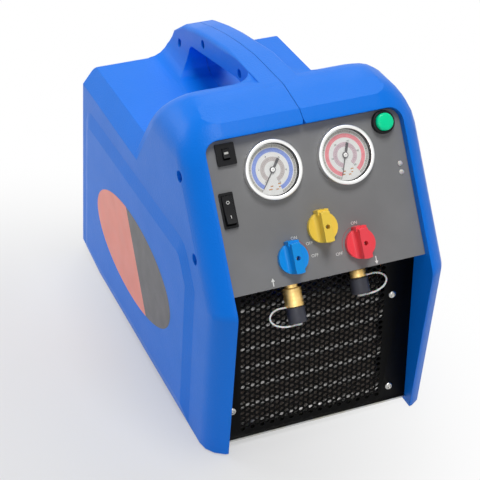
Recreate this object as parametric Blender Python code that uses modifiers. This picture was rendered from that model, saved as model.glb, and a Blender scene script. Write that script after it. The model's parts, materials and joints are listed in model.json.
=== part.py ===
# Portable refrigerant recovery machine, in metres.
# +Z is up, the control panel looks towards -Y and the rear vent towards +Y.
# The origin lies on the floor, under the middle of the machine.
from math import atan2, cos, hypot, pi, radians, sin, tan

import bmesh
import bpy
from mathutils import Matrix, Vector

# Running clearance between pieces that touch or pass through each other
GAP = 0.0003

# Housing: side view; the rounded nose ends a trim behind the corner of its two faces
LENGTH = 0.4504
NOSE_Z = 0.1825
NOSE_TRIM = 0.0015
UNDERCUT = 0.0267
LEAN = radians(31.2)
RIM_Z = 0.0015
HOOD_TOP = 0.3405
HOOD_REAR = 0.163
HOOD_FOOT = 0.231
DECK_Z = HOOD_TOP - 0.0825
REAR_LEAN = radians(10.4)
REAR_SILL_Z = 0.010
SILL_RUN = 0.064
DECK_EDGE_RADIUS = 0.008

# Housing: front view
HALF_WIDTH = 0.121
HOOD_CORNER = 0.042
FRONT_FILLET = 0.028
REAR_FILLET = 0.018
TAIL_FILLET = 0.010
DECK_CHAMFER_WIDTH = 0.014
DECK_CHAMFER_HEIGHT = 0.021
WALL = 0.004
SEAM = 0.0004

# Raised field on each side of the housing
FIELD_RISE = 0.004
FIELD_BEVEL = 0.016
FIELD_CORNER = 0.005
FIELD_FRONT_INSET = 0.053
FIELD_LOW_INSET = 0.060
FIELD_REAR_INSET = 0.014
FIELD_TOP_FRONT_Z = 0.2235
FIELD_TOP_REAR_Z = 0.2105
FIELD_BOTTOM_Z = 0.0025

# Front opening, control panel and front sheet
OPENING_HALF = HALF_WIDTH - 0.0208
OPENING_HEIGHT = (HOOD_TOP - NOSE_Z) / cos(LEAN) - 0.0402
OPENING_CORNER = 0.013
FRAME_DEPTH = 0.016
WING_DEPTH = 0.050
NOTCH_HALF = 0.0025
NOTCH_HEIGHT = 0.005
PANEL_RISE = 0.0203
PANEL_RECESS = 0.0097
PANEL_SHEET = 0.002
PANEL_FLANGE = 0.030
GRILLE_SETBACK = 0.040
GRILLE_SHEET = 0.0012
GRILLE_BOTTOM_Z = 0.0085
GRILLE_PITCH = 0.0264
GRILLE_HOLE_RADIUS = 0.0100
GRILLE_FIELD_HALF = 0.076
GRILLE_MARGIN_Z = 0.019

# Handle
HANDLE_HALF = 0.020
HANDLE_THICK = 0.021
HANDLE_ROUND = 0.007
HANDLE_FLARE_HALF = 0.046
HANDLE_FLARE_Z = HOOD_TOP - 0.0485
HANDLE_WEB_HALF = 0.045
HANDLE_BEND_Y = 0.207
HANDLE_END_Y = 0.364
HANDLE_END_Z = HOOD_TOP - 0.032
HANDLE_HEEL_Y = 0.399
GRIP_HOLE_REAR_Y = 0.345
GRIP_HOLE_ROUND = 0.0175

# Gauges, in the panel's own axes: across, up the panel
GAUGE_X = OPENING_HALF - 0.063
GAUGE_S = OPENING_HEIGHT - 0.036
GAUGE_CASE_RADIUS = 0.0258
GAUGE_CASE_DEPTH = 0.024
GAUGE_CASE_WALL = 0.0012
GAUGE_BEZEL_RADIUS = 0.0285
GAUGE_BEZEL_LIP = 0.0036
GAUGE_BEZEL_HEIGHT = 0.0068
GAUGE_LENS_THICK = 0.0012
DIAL_THICK = 0.0008
NEEDLE_LENGTH = 0.0185
NEEDLE_TAIL = 0.0120
NEEDLE_THICK = 0.0005
NEEDLE_HUB_RADIUS = 0.0022
NEEDLE_HUB = 0.0014
NEEDLE_PIN_RADIUS = 0.0006
NEEDLE_PIN_DEPTH = 0.004
GAUGE_STUB = 0.008
GAUGE_STUB_RADIUS = 0.005
GAUGE_RIM = 0.0018
GAUGE_LENS_TOP = 0.0054
DIAL_TOP = 0.0006
LOW_ZERO_ANGLE = radians(207.0)
HIGH_ZERO_ANGLE = radians(186.0)

# Valve knobs and stems
KNOB_RADIUS = 0.0148
KNOB_HEIGHT = 0.017
KNOB_BASE = 0.0040
KNOB_FIN = 0.0088
KNOB_TAB_HALF = 0.0055
KNOB_TAB_REACH = 0.0024
KNOB_TAB_HEIGHT = 0.0115
STEM_RADIUS = 0.0030
STEM_SOCKET_DEPTH = 0.010
KNOB_SCREW_RADIUS = 0.0022
KNOB_SIDE_X = 0.0346
KNOB_SIDE_S = OPENING_HEIGHT * 0.166
KNOB_MIDDLE_S = OPENING_HEIGHT * 0.322

# Valve block behind the panel and its ports
BLOCK_HALF_WIDTH = 0.056
BLOCK_BOTTOM = 0.006
BLOCK_TOP = OPENING_HEIGHT * 0.429
BLOCK_FRONT = 0.0055
BLOCK_THICK = 0.025
PORT_NECK_RADIUS = 0.0065
PORT_THREAD_RADIUS = 0.0055
INLET_BODY_RADIUS = 0.0098
INLET_BODY_TOP = 0.0045
INLET_BODY_LENGTH = 0.016
OUTLET_BODY_RADIUS = 0.0071
OUTLET_BODY_TOP = 0.0012
OUTLET_BODY_LENGTH = 0.0053
STRAP_RADIUS = 0.0009
STRAP_RING_THICK = 0.0018
STRAP_RING_RADIUS = 0.0082
STRAP_END_THICK = 0.0018
CAP_RADIUS = 0.0090
CAP_LENGTH = 0.0155
CAP_END_THICK = 0.0025
THREAD_LENGTH = 0.0115

# Switches, button and lamps
BUTTON_X = OPENING_HALF - 0.019
BUTTON_S = OPENING_HEIGHT - 0.0125
BUTTON_RADIUS = 0.0085
BUTTON_HEIGHT = 0.0098
BUTTON_TRAVEL = 0.003
BUTTON_FOOT = -0.006
BUTTON_RING_RADIUS = 0.0113
BUTTON_RING_HEIGHT = 0.0055
BUTTON_BODY_DEPTH = 0.026
BUTTON_BODY_WALL = 0.0010
SWITCH_X = 0.0131 - OPENING_HALF
SWITCH_S = OPENING_HEIGHT * 0.551
SWITCH_WIDTH = 0.0138
SWITCH_HEIGHT = 0.0335
SWITCH_FRAME = 0.0018
SWITCH_DEPTH = 0.022
SWITCH_ROCKER_WIDTH = 0.0096
SWITCH_ROCKER_HEIGHT = 0.0262
BREAKER_X = 0.0207 - OPENING_HALF
BREAKER_S = OPENING_HEIGHT - 0.0137
BREAKER_WIDTH = 0.0188
BREAKER_HEIGHT = 0.0206
BREAKER_DEPTH = 0.026
BREAKER_FRAME = 0.0024
BREAKER_ROCKER_WIDTH = 0.0064
BREAKER_ROCKER_HEIGHT = 0.0086
SWITCH_EDGE = 0.0014
SWITCH_ROCKER_END = 0.0050
BREAKER_ROCKER_END = 0.0042
ROCKER_KEEL = 0.0050
ROCKER_PIVOT = 0.0003
SWITCH_POCKET = 0.010
ROCKER_TILT = radians(9.0)
LAMP_X = OPENING_HALF - 0.0086
LAMP_LOW_S = OPENING_HEIGHT * 0.567
LAMP_HIGH_S = LAMP_LOW_S + 0.0084
LAMP_RADIUS = 0.0026
LAMP_BODY_RADIUS = 0.0019
LAMP_DEPTH = 0.008

# Base plate and feet
BASE_SHEET = 0.002
FOOT_HEIGHT = 0.006
FOOT_RADIUS = 0.010
FOOT_X = HALF_WIDTH - 0.036
FOOT_FRONT_Y = 0.085
FOOT_REAR_Y = 0.360
BASE_REAR_Y = 0.395
BASE_FLANGE = 0.018

# Condenser behind the front sheet: one flat tube bent back and forth
COIL_FRONT_Y = 0.0475
COIL_DEPTH = 0.022
COIL_PASSES = 7
COIL_PITCH = 0.023
COIL_TUBE = 0.0055
COIL_HALF_RUN = 0.074
COIL_BOTTOM_Z = 0.016
COIL_X = -0.0065
FIN_WAVES = 4
FIN_SHEET = 0.0008
FIN_INSET = 0.001

# Fan, shaft, motor and compressor on one axis along Y
SHAFT_Z = 0.098
SHAFT_RADIUS = 0.006
SHAFT_FRONT_Y = 0.098
SHROUD_FRONT_Y = 0.0785
SHROUD_SHEET = 0.0015
SHROUD_FOLD = 0.010
SHROUD_TOP_Z = 0.1765
SHROUD_RING_DEPTH = 0.026
FAN_RADIUS = 0.070
FAN_TIP_GAP = 0.003
FAN_HUB_RADIUS = 0.019
FAN_HUB_LENGTH = 0.022
FAN_HUB_FRONT_Y = 0.1025
FAN_BLADES = 6
FAN_BLADE_SHEET = 0.0022
FAN_BLADE_HALF = 0.016
FAN_BLADE_ROOT = 0.008
FAN_BLADE_PITCH = radians(32.0)
MOTOR_FRONT_Y = 0.138
MOTOR_LENGTH = 0.092
MOTOR_RADIUS = 0.050
MOTOR_BELL = 0.012
SADDLE_THICK = 0.006
SADDLE_HALF = 0.046
SADDLE_FOOT = 0.003
SADDLE_ANGLE = radians(42.0)
CRANKCASE_LENGTH = 0.070
CRANKCASE_HALF = 0.040
CRANKCASE_LOW_Z = 0.040
CRANKCASE_HIGH_Z = 0.150
COVER_THICK = 0.010
CYLINDER_RADIUS = 0.023
CYLINDER_FIN_RADIUS = 0.029
CYLINDER_FINS = 3
CYLINDER_LENGTH = 0.034
HEAD_THICK = 0.012
HEAD_RADIUS = 0.031
CRANKCASE_FOOT_HALF = 0.034
CAPACITOR_RADIUS = 0.0175
CAPACITOR_LENGTH = 0.066
CAPACITOR_X = 0.080
CAPACITOR_Y = 0.165

# Pipes
PIPE_RADIUS = 0.0032
PIPE_SEAT = 0.0004
GAUGE_LINE_RADIUS = 0.0020
CUTOUT_RADIUS = 0.010
CUTOUT_LENGTH = 0.018
CUTOUT_X = -0.012

# Rear vent sheet and mains inlet
VENT_HALF = 0.078
VENT_BOTTOM_Z = 0.030
VENT_TOP_Z = 0.190
VENT_CORNER = 0.010
VENT_SHEET = 0.0015
VENT_SLOTS = 9
VENT_SLOT_HEIGHT = 0.0065
VENT_SLOT_MARGIN = 0.008
VENT_RECESS = 0.0025
INLET_X = -0.050
INLET_WIDTH = 0.031
INLET_HEIGHT = 0.024
INLET_S = 0.0235
INLET_FLANGE = 0.0025
INLET_FLANGE_EDGE = 0.004
INLET_DEPTH = 0.024
INLET_SOCKET_WALL = 0.0025
INLET_SOCKET_DEPTH = 0.018
INLET_PIN = 0.0022

# Screws
SCREW_SHANK_RADIUS = 0.0017
SIDE_SINK_RADIUS = 0.0060
SIDE_SINK_DEPTH = 0.0070
HANDLE_SINK_RADIUS = 0.0048
HANDLE_SINK_DEPTH = 0.012
BOSS_RADIUS = 0.0078
BOSS_LENGTH = 0.0165
SIDE_SCREW_PLACES = ((0.0974, HOOD_TOP - 0.054), (0.0597, NOSE_Z + 0.0354))
HANDLE_SCREW_PLACES = ((0.199, HOOD_TOP - 0.014), (0.300, HOOD_TOP - 0.027), (0.370, HOOD_TOP - 0.0555))
GRILLE_SCREW_PLACES = ((0.0780, 0.1404), (0.0805, 0.0260), (-0.0920, 0.0442), (-0.0920, 0.1404))

# Worked out from the values above
LOW_LEAN = atan2(UNDERCUT, NOSE_Z - RIM_Z)
NOSE_Y = -(LENGTH + NOSE_TRIM) / 2
UP_PANEL = Vector((0.0, sin(LEAN), cos(LEAN)))
OUT_OF_PANEL = Vector((0.0, -cos(LEAN), sin(LEAN)))
NOSE = Vector((0.0, NOSE_Y, NOSE_Z))
PANEL_FOOT = NOSE + UP_PANEL * PANEL_RISE - OUT_OF_PANEL * PANEL_RECESS
FIELD_X = HALF_WIDTH + FIELD_RISE
FLOOR_CUT = -0.02
BASE_TOP_Z = FOOT_HEIGHT + BASE_SHEET
CRANKCASE_FRONT_Y = MOTOR_FRONT_Y + MOTOR_LENGTH + GAP
CYLINDER_Y = CRANKCASE_FRONT_Y + CRANKCASE_LENGTH / 2
PANEL_TURN = pi / 2 - LEAN
KNOB_PLACES = ((-KNOB_SIDE_X, KNOB_SIDE_S), (0.0, KNOB_MIDDLE_S), (KNOB_SIDE_X, KNOB_SIDE_S))
KNOB_FINISHES = ("blue_knob", "yellow_knob", "red_knob")
PORT_DEPTH = BLOCK_FRONT + BLOCK_THICK / 2
GRILLE_BACK_Y = GRILLE_SETBACK + GRILLE_SHEET
GRILLE_TOP_Z = PANEL_FOOT.z - (NOSE_Y + GRILLE_BACK_Y - PANEL_FOOT.y) * tan(LEAN) - GAP
COIL_TOP_Z = COIL_BOTTOM_Z + (COIL_PASSES - 1) * COIL_PITCH
COIL_MIDDLE_Y = COIL_FRONT_Y + COIL_DEPTH / 2
SHROUD_INNER_X = COIL_HALF_RUN + COIL_PITCH / 2 + COIL_TUBE / 2 + GAP
VENT_FOOT = Vector((0.0, NOSE_Y + LENGTH - (VENT_BOTTOM_Z - REAR_SILL_Z) * tan(REAR_LEAN), VENT_BOTTOM_Z))
VENT_LENGTH = (VENT_TOP_Z - VENT_BOTTOM_Z) / cos(REAR_LEAN)

# Colours of the pieces: base colour, metallic, roughness
FINISHES = {
    "blue_plastic": ((0.01, 0.13, 0.71), 0.0, 0.55),
    "panel_grey": ((0.16, 0.16, 0.16), 0.0, 0.6),
    "black_steel": ((0.012, 0.012, 0.014), 0.0, 0.5),
    "black_plastic": ((0.02, 0.02, 0.022), 0.0, 0.45),
    "zinc": ((0.62, 0.62, 0.60), 1.0, 0.35),
    "aluminium": ((0.78, 0.78, 0.78), 1.0, 0.4),
    "cast_aluminium": ((0.5, 0.5, 0.5), 1.0, 0.6),
    "brass": ((0.75, 0.52, 0.18), 1.0, 0.3),
    "copper": ((0.72, 0.33, 0.18), 1.0, 0.35),
    "white_dial": ((0.86, 0.86, 0.86), 0.0, 0.6),
    "clear": ((0.9, 0.95, 0.95), 0.0, 0.05),
    "blue_knob": ((0.02, 0.24, 0.85), 0.0, 0.4),
    "yellow_knob": ((0.90, 0.53, 0.04), 0.0, 0.4),
    "red_knob": ((0.80, 0.03, 0.06), 0.0, 0.4),
    "green_button": ((0.0, 0.67, 0.26), 0.0, 0.35),
    "white_plastic": ((0.85, 0.85, 0.85), 0.0, 0.5),
    "rubber": ((0.02, 0.02, 0.02), 0.0, 0.85),
}


def clear_scene():
    for obj in list(bpy.data.objects):
        bpy.data.objects.remove(obj, do_unlink=True)


def new_collection(name):
    collection = bpy.data.collections.new(name)
    bpy.context.scene.collection.children.link(collection)
    return collection


clear_scene()
PARTS = new_collection("refrigerant_recovery_machine")
CUTTERS = new_collection("cutters")


def give_material(obj, finish):
    colour, metallic, roughness = FINISHES[finish]
    material = bpy.data.materials.new(obj.name + "_material")
    material.use_nodes = True
    shader = material.node_tree.nodes["Principled BSDF"]
    shader.inputs["Base Color"].default_value = (*colour, 1.0)
    shader.inputs["Metallic"].default_value = metallic
    shader.inputs["Roughness"].default_value = roughness
    material.diffuse_color = (*colour, 1.0)
    obj.data.materials.clear()
    obj.data.materials.append(material)


def place(obj, matrix):
    obj.matrix_world = matrix
    bpy.context.view_layer.update()
    return obj


def link_mesh(name, mesh, collection):
    obj = bpy.data.objects.new(name, mesh)
    collection.objects.link(obj)
    return obj


def evaluated_mesh(obj):
    bpy.context.view_layer.update()
    graph = bpy.context.evaluated_depsgraph_get()
    return bpy.data.meshes.new_from_object(obj.evaluated_get(graph))


def bake(obj):
    mesh = evaluated_mesh(obj)
    obj.modifiers.clear()
    obj.data = mesh
    return obj


def tidy_mesh(mesh):
    work = bmesh.new()
    work.from_mesh(mesh)
    bmesh.ops.remove_doubles(work, verts=work.verts, dist=0.00001)
    bmesh.ops.dissolve_limit(work, angle_limit=radians(0.05), verts=work.verts, edges=work.edges)
    bmesh.ops.recalc_face_normals(work, faces=work.faces)
    work.to_mesh(mesh)
    work.free()
    return mesh


def from_curve(curve_object, collection):
    name = curve_object.name
    matrix = curve_object.matrix_world.copy()
    mesh = tidy_mesh(evaluated_mesh(curve_object))
    curve = curve_object.data
    bpy.data.objects.remove(curve_object, do_unlink=True)
    bpy.data.curves.remove(curve)
    obj = link_mesh(name, mesh, collection)
    return place(obj, matrix)


# Outlines

def rounded(corners, steps=4):
    """Corners are (u, v, radius); each radius becomes an arc that meets both sides."""
    points = []
    count = len(corners)
    for index, (u, v, radius) in enumerate(corners):
        corner = Vector((u, v))
        if radius <= 0.0:
            points.append(corner)
            continue
        before = (Vector(corners[index - 1][:2]) - corner).normalized()
        after = (Vector(corners[(index + 1) % count][:2]) - corner).normalized()
        half = before.angle(after) / 2
        centre = corner + (before + after).normalized() * (radius / sin(half))
        start = corner + before * (radius / tan(half)) - centre
        end = corner + after * (radius / tan(half)) - centre
        sweep = start.angle_signed(end)
        for step in range(steps + 1):
            turn = -sweep * step / steps
            points.append(centre + Matrix.Rotation(turn, 2) @ start)
    return points


def rectangle(width, height, radius=0.0, centre=(0.0, 0.0), steps=4):
    u, v = centre
    half_u = width / 2
    half_v = height / 2
    corners = [(u - half_u, v - half_v, radius), (u + half_u, v - half_v, radius),
               (u + half_u, v + half_v, radius), (u - half_u, v + half_v, radius)]
    return rounded(corners, steps)


def circle(radius, centre=(0.0, 0.0), count=16, turn=0.0):
    return [Vector((centre[0] + radius * cos(turn + 2 * pi * step / count),
                    centre[1] + radius * sin(turn + 2 * pi * step / count))) for step in range(count)]


def meet(point_a, along_a, point_b, along_b):
    """The point where two lines in a plane cross."""
    across = along_a[0] * along_b[1] - along_a[1] * along_b[0]
    gap_u = point_b[0] - point_a[0]
    gap_v = point_b[1] - point_a[1]
    reach = (gap_u * along_b[1] - gap_v * along_b[0]) / across
    return Vector((point_a[0] + along_a[0] * reach, point_a[1] + along_a[1] * reach))


# Solids

def slab(name, outlines, thickness, matrix, collection=None):
    """A flat outline, with any holes, extruded evenly about its own plane."""
    curve = bpy.data.curves.new(name, "CURVE")
    curve.dimensions = "2D"
    curve.fill_mode = "BOTH"
    curve.extrude = thickness / 2
    for outline in outlines:
        spline = curve.splines.new("POLY")
        spline.points.add(len(outline) - 1)
        for point, (u, v) in zip(spline.points, outline):
            point.co = (u, v, 0.0, 1.0)
        spline.use_cyclic_u = True
    obj = bpy.data.objects.new(name, curve)
    home = collection or PARTS
    home.objects.link(obj)
    place(obj, matrix)
    return from_curve(obj, home)


def side_frame(x=0.0):
    """Outline u runs along +Y and v along +Z; the slab is thick along X."""
    return Matrix(((0, 0, 1, x), (1, 0, 0, 0), (0, 1, 0, 0), (0, 0, 0, 1)))


def front_frame(y=0.0):
    """Outline u runs along +X and v along +Z; the slab is thick along Y."""
    return Matrix(((1, 0, 0, 0), (0, 0, -1, y), (0, 1, 0, 0), (0, 0, 0, 1)))


def panel_frame(x=0.0, s=0.0, h=0.0):
    """Local X across, local Y up the control panel, local Z out of it."""
    return (Matrix.Translation(PANEL_FOOT) @ Matrix.Rotation(PANEL_TURN, 4, "X")
            @ Matrix.Translation((x, s, h)))


def vent_frame(x=0.0, s=0.0, h=0.0):
    """Local X across, local Y up the rear face, local Z out of it."""
    turn = Matrix(((-1, 0, 0, 0), (0, 0, 1, 0), (0, 1, 0, 0), (0, 0, 0, 1)))
    return (Matrix.Translation(VENT_FOOT) @ Matrix.Rotation(REAR_LEAN, 4, "X") @ turn
            @ Matrix.Translation((x, s, h)))


def turned(name, profile, matrix, steps=24, ring=False, collection=None):
    """A profile of (radius, height) turned about the local Z axis."""
    mesh = bpy.data.meshes.new(name)
    work = bmesh.new()
    verts = [work.verts.new((radius, 0.0, height)) for radius, height in profile]
    for first, second in zip(verts, verts[1:]):
        work.edges.new((first, second))
    if ring:
        work.edges.new((verts[-1], verts[0]))
    work.to_mesh(mesh)
    work.free()
    obj = link_mesh(name, mesh, collection or PARTS)
    screw = obj.modifiers.new("turn", "SCREW")
    screw.axis = "Z"
    screw.angle = 2 * pi
    screw.steps = steps
    screw.render_steps = steps
    screw.use_merge_vertices = True
    screw.merge_threshold = 0.00001
    screw.use_smooth_shade = True
    bake(obj)
    work = bmesh.new()
    work.from_mesh(obj.data)
    bmesh.ops.remove_doubles(work, verts=work.verts, dist=0.00001)
    bmesh.ops.dissolve_degenerate(work, edges=work.edges, dist=0.000001)
    work.to_mesh(obj.data)
    work.free()
    return place(obj, matrix)


def rod(radius, top, bottom):
    return [(0.0, top), (radius, top), (radius, bottom), (0.0, bottom)]


def sleeve(outer, inner, top, bottom):
    return [(outer, top), (outer, bottom), (inner, bottom), (inner, top)]


def tube(name, points, radius, collection=None):
    """A round bar along a smooth line through the given points."""
    curve = bpy.data.curves.new(name, "CURVE")
    curve.dimensions = "3D"
    curve.bevel_depth = radius
    curve.bevel_resolution = 2
    curve.use_fill_caps = True
    spline = curve.splines.new("POLY")
    spline.points.add(len(points) - 1)
    for knot, point in zip(spline.points, points):
        knot.co = (*point, 1.0)
    obj = bpy.data.objects.new(name, curve)
    home = collection or PARTS
    home.objects.link(obj)
    return from_curve(obj, home)


def smooth_line(knots, per_span=4):
    """Points on a Catmull-Rom curve through the knots."""
    points = []
    ends = [knots[0] * 2 - knots[1]] + list(knots) + [knots[-1] * 2 - knots[-2]]
    for index in range(1, len(ends) - 2):
        a, b, c, d = ends[index - 1:index + 3]
        for step in range(per_span):
            t = step / per_span
            points.append(0.5 * (2 * b + (c - a) * t + (2 * a - 5 * b + 4 * c - d) * t ** 2
                                 + (3 * b - a - 3 * c + d) * t ** 3))
    points.append(knots[-1])
    return points


def box(name, size, matrix, collection=None):
    mesh = bpy.data.meshes.new(name)
    work = bmesh.new()
    bmesh.ops.create_cube(work, size=1.0)
    bmesh.ops.scale(work, vec=size, verts=work.verts)
    work.to_mesh(mesh)
    work.free()
    obj = link_mesh(name, mesh, collection or PARTS)
    return place(obj, matrix)


def combine(target, other, operation):
    """Boolean the other object into the target, and keep the other only as a cutter."""
    for collection in list(other.users_collection):
        collection.objects.unlink(other)
    CUTTERS.objects.link(other)
    other.hide_render = True
    other.display_type = "WIRE"
    modifier = target.modifiers.new(operation.lower(), "BOOLEAN")
    modifier.operation = operation
    modifier.solver = "EXACT"
    modifier.object = other
    bake(target)
    tidy_mesh(target.data)
    return target


def cut(target, *others):
    for other in others:
        combine(target, other, "DIFFERENCE")
    return target


def join(target, *others):
    for other in others:
        combine(target, other, "UNION")
    return target


def finished(obj, finish):
    obj.data.shade_smooth()
    obj.data.set_sharp_from_angle(angle=radians(35.0))
    give_material(obj, finish)
    return obj


def round_edges(obj, chosen, radius, segments=3):
    """Bevel the edges for which chosen(face_a, face_b, edge) is true, in world axes."""
    work = bmesh.new()
    work.from_mesh(obj.data)
    work.normal_update()
    edges = [edge for edge in work.edges
             if len(edge.link_faces) == 2 and chosen(edge.link_faces[0], edge.link_faces[1], edge)]
    bmesh.ops.bevel(work, geom=edges, offset=radius, offset_type="OFFSET", segments=segments,
                    profile=0.5, affect="EDGES", clamp_overlap=True)
    work.to_mesh(obj.data)
    work.free()
    tidy_mesh(obj.data)
    return obj


def to_world(obj):
    obj.data.transform(obj.matrix_world)
    return place(obj, Matrix.Identity(4))


# Housing outlines in the side view; y is counted from the nose

def at(y, z, radius=0.0):
    return (NOSE_Y + y, z, radius)


def front_plane_y(z, depth=0.0):
    """Distance behind the nose of a plane parallel to the leaning front."""
    return (z - NOSE_Z) * tan(LEAN) + depth / cos(LEAN)


def rear_plane_y(z, depth=0.0):
    return LENGTH - (z - REAR_SILL_Z) * tan(REAR_LEAN) - depth / cos(REAR_LEAN)


def hood_rear_y(z, depth=0.0):
    """The slope behind the hood, which runs down to the deck."""
    run = (HOOD_FOOT - HOOD_REAR) / (HOOD_TOP - DECK_Z)
    return HOOD_REAR + (HOOD_TOP - z) * run - depth * hypot(1.0, run)


def hood_side_profile():
    low_z = DECK_Z - DECK_CHAMFER_HEIGHT - 0.02
    return rounded([
        at(UNDERCUT, RIM_Z),
        at(0.0, NOSE_Z),
        at(front_plane_y(HOOD_TOP), HOOD_TOP),
        at(HOOD_REAR, HOOD_TOP),
        at(hood_rear_y(low_z), low_z),
        at(hood_rear_y(low_z) - 0.03, RIM_Z),
    ], 3)


def hood_section(depth, bottom):
    half = HALF_WIDTH - depth
    radius = HOOD_CORNER - depth
    top = HOOD_TOP - depth
    return rounded([(-half, bottom, 0.0), (half, bottom, 0.0), (half, top, radius), (-half, top, radius)], 6)


def body_side_profile():
    return rounded([
        at(HOOD_REAR - 0.02, RIM_Z),
        at(HOOD_REAR - 0.02, DECK_Z),
        at(rear_plane_y(DECK_Z), DECK_Z, DECK_EDGE_RADIUS),
        at(LENGTH, REAR_SILL_Z),
        at(LENGTH - SILL_RUN, RIM_Z),
    ], 3)


def body_section(depth, bottom):
    half = HALF_WIDTH - depth
    top = DECK_Z - depth
    chamfer = DECK_CHAMFER_HEIGHT - depth * 0.4
    inner = half - DECK_CHAMFER_WIDTH + depth * 0.4
    return [Vector(corner) for corner in (
        (-half, bottom), (half, bottom), (half, top - chamfer), (inner, top), (-inner, top),
        (-half, top - chamfer))]


def hood_cavity_profile():
    """The room inside, open at the bottom and towards the rear body."""
    low_y = WING_DEPTH
    knee_z = NOSE_Z + (low_y - FRAME_DEPTH / cos(LEAN)) / tan(LEAN)
    top = HOOD_TOP - WALL
    deck = DECK_Z - WALL
    return [Vector(at(y, z)[:2]) for y, z in (
        (low_y, FLOOR_CUT), (low_y, knee_z), (front_plane_y(top, FRAME_DEPTH), top),
        (hood_rear_y(top, WALL), top), (hood_rear_y(deck, WALL), deck),
        (hood_rear_y(deck, WALL), FLOOR_CUT))]


def body_cavity_profile():
    top = DECK_Z - WALL
    return [Vector(at(y, z)[:2]) for y, z in (
        (HOOD_REAR, FLOOR_CUT), (HOOD_REAR, top), (rear_plane_y(top, WALL), top),
        (rear_plane_y(FLOOR_CUT, WALL), FLOOR_CUT))]


def crossed(name, side_outline, front_outline, collection=None):
    """The solid whose side view and front view are the two outlines."""
    solid = slab(name, [side_outline], 3 * HALF_WIDTH, side_frame(), collection)
    to_world(solid)
    section = slab(name + "_section", [front_outline], 3 * LENGTH, front_frame(), CUTTERS)
    return combine(solid, section, "INTERSECT")


def hood_rear_edge(face_a, face_b, edge):
    """Edges between the hood's rear slope and its sides and top."""
    low, high = sorted((face_a.normal.y, face_b.normal.y))
    middle = (edge.verts[0].co + edge.verts[1].co) / 2
    return 0.2 < high < 0.95 and abs(low) < 0.01 and middle.z > DECK_Z - 0.06


def hood_front_edge(face_a, face_b, edge):
    """Edges between the hood's two front faces and its sides and top."""
    low, high = sorted((face_a.normal.y, face_b.normal.y))
    return low < -0.05 and abs(high) < 0.01 and max(vert.co.z for vert in edge.verts) > 1.1 * RIM_Z


def leaning_edge(face_a, face_b, edge):
    """The front edges of the hood that lie along the leaning face."""
    return hood_front_edge(face_a, face_b, edge) and min(face_a.normal.y, face_b.normal.y) > -0.95


def hood_solid():
    hood = crossed("hood", hood_side_profile(), hood_section(0.0, RIM_Z - 0.01))
    round_edges(hood, hood_rear_edge, REAR_FILLET, 3)
    return round_edges(hood, hood_front_edge, FRONT_FILLET, 4)


def body_solid():
    body = crossed("body", body_side_profile(), body_section(0.0, RIM_Z - 0.01))

    def tail_edge(face_a, face_b, edge):
        low, high = sorted((face_a.normal.y, face_b.normal.y))
        middle = (edge.verts[0].co + edge.verts[1].co) / 2
        return high > 0.1 and abs(low) < 0.01 and middle.z < DECK_Z - 0.002 and middle.z > RIM_Z

    return round_edges(body, tail_edge, TAIL_FILLET, 3)


def field_outline():
    """Outer edge of the bevel round the raised side field."""
    up_front = (sin(LEAN), cos(LEAN))
    up_low = (-sin(LOW_LEAN), cos(LOW_LEAN))
    up_rear = (-sin(REAR_LEAN), cos(REAR_LEAN))
    front = (NOSE_Y + FIELD_FRONT_INSET / cos(LEAN), NOSE_Z)
    low = (NOSE_Y + FIELD_LOW_INSET / cos(LOW_LEAN), NOSE_Z)
    rear = (NOSE_Y + rear_plane_y(NOSE_Z, FIELD_REAR_INSET), NOSE_Z)
    top_run = (LENGTH, FIELD_TOP_REAR_Z - FIELD_TOP_FRONT_Z)
    top = (NOSE_Y, FIELD_TOP_FRONT_Z)
    floor = (0.0, FIELD_BOTTOM_Z)
    level = (1.0, 0.0)
    sill = (NOSE_Y + LENGTH - SILL_RUN, FIELD_BOTTOM_Z)
    sill_run = (SILL_RUN, REAR_SILL_Z - RIM_Z)
    radius = FIELD_BEVEL + FIELD_CORNER
    corners = [
        (*meet(low, up_low, floor, level), 0.0),
        (*meet(low, up_low, front, up_front), 0.0),
        (*meet(front, up_front, top, top_run), radius),
        (*meet(rear, up_rear, top, top_run), radius),
        (*meet(rear, up_rear, sill, sill_run), 0.0),
        (*sill, 0.0),
    ]
    return rounded(corners, 2)


def side_field():
    """A low raised field with a broad bevel all round."""
    sink = WALL / 2
    field = slab("field", [field_outline()], sink, side_frame(HALF_WIDTH - sink / 2))
    to_world(field)
    work = bmesh.new()
    work.from_mesh(field.data)
    work.normal_update()
    outer = [face for face in work.faces if face.normal.x > 0.9]
    bmesh.ops.inset_region(work, faces=outer, thickness=FIELD_BEVEL, use_even_offset=True)
    outer = [face for face in work.faces if face.normal.x > 0.9 and face in outer]
    moved = {vert for face in outer for vert in face.verts}
    bmesh.ops.translate(work, vec=(FIELD_RISE, 0.0, 0.0), verts=list(moved))
    work.to_mesh(field.data)
    work.free()
    return field


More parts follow.
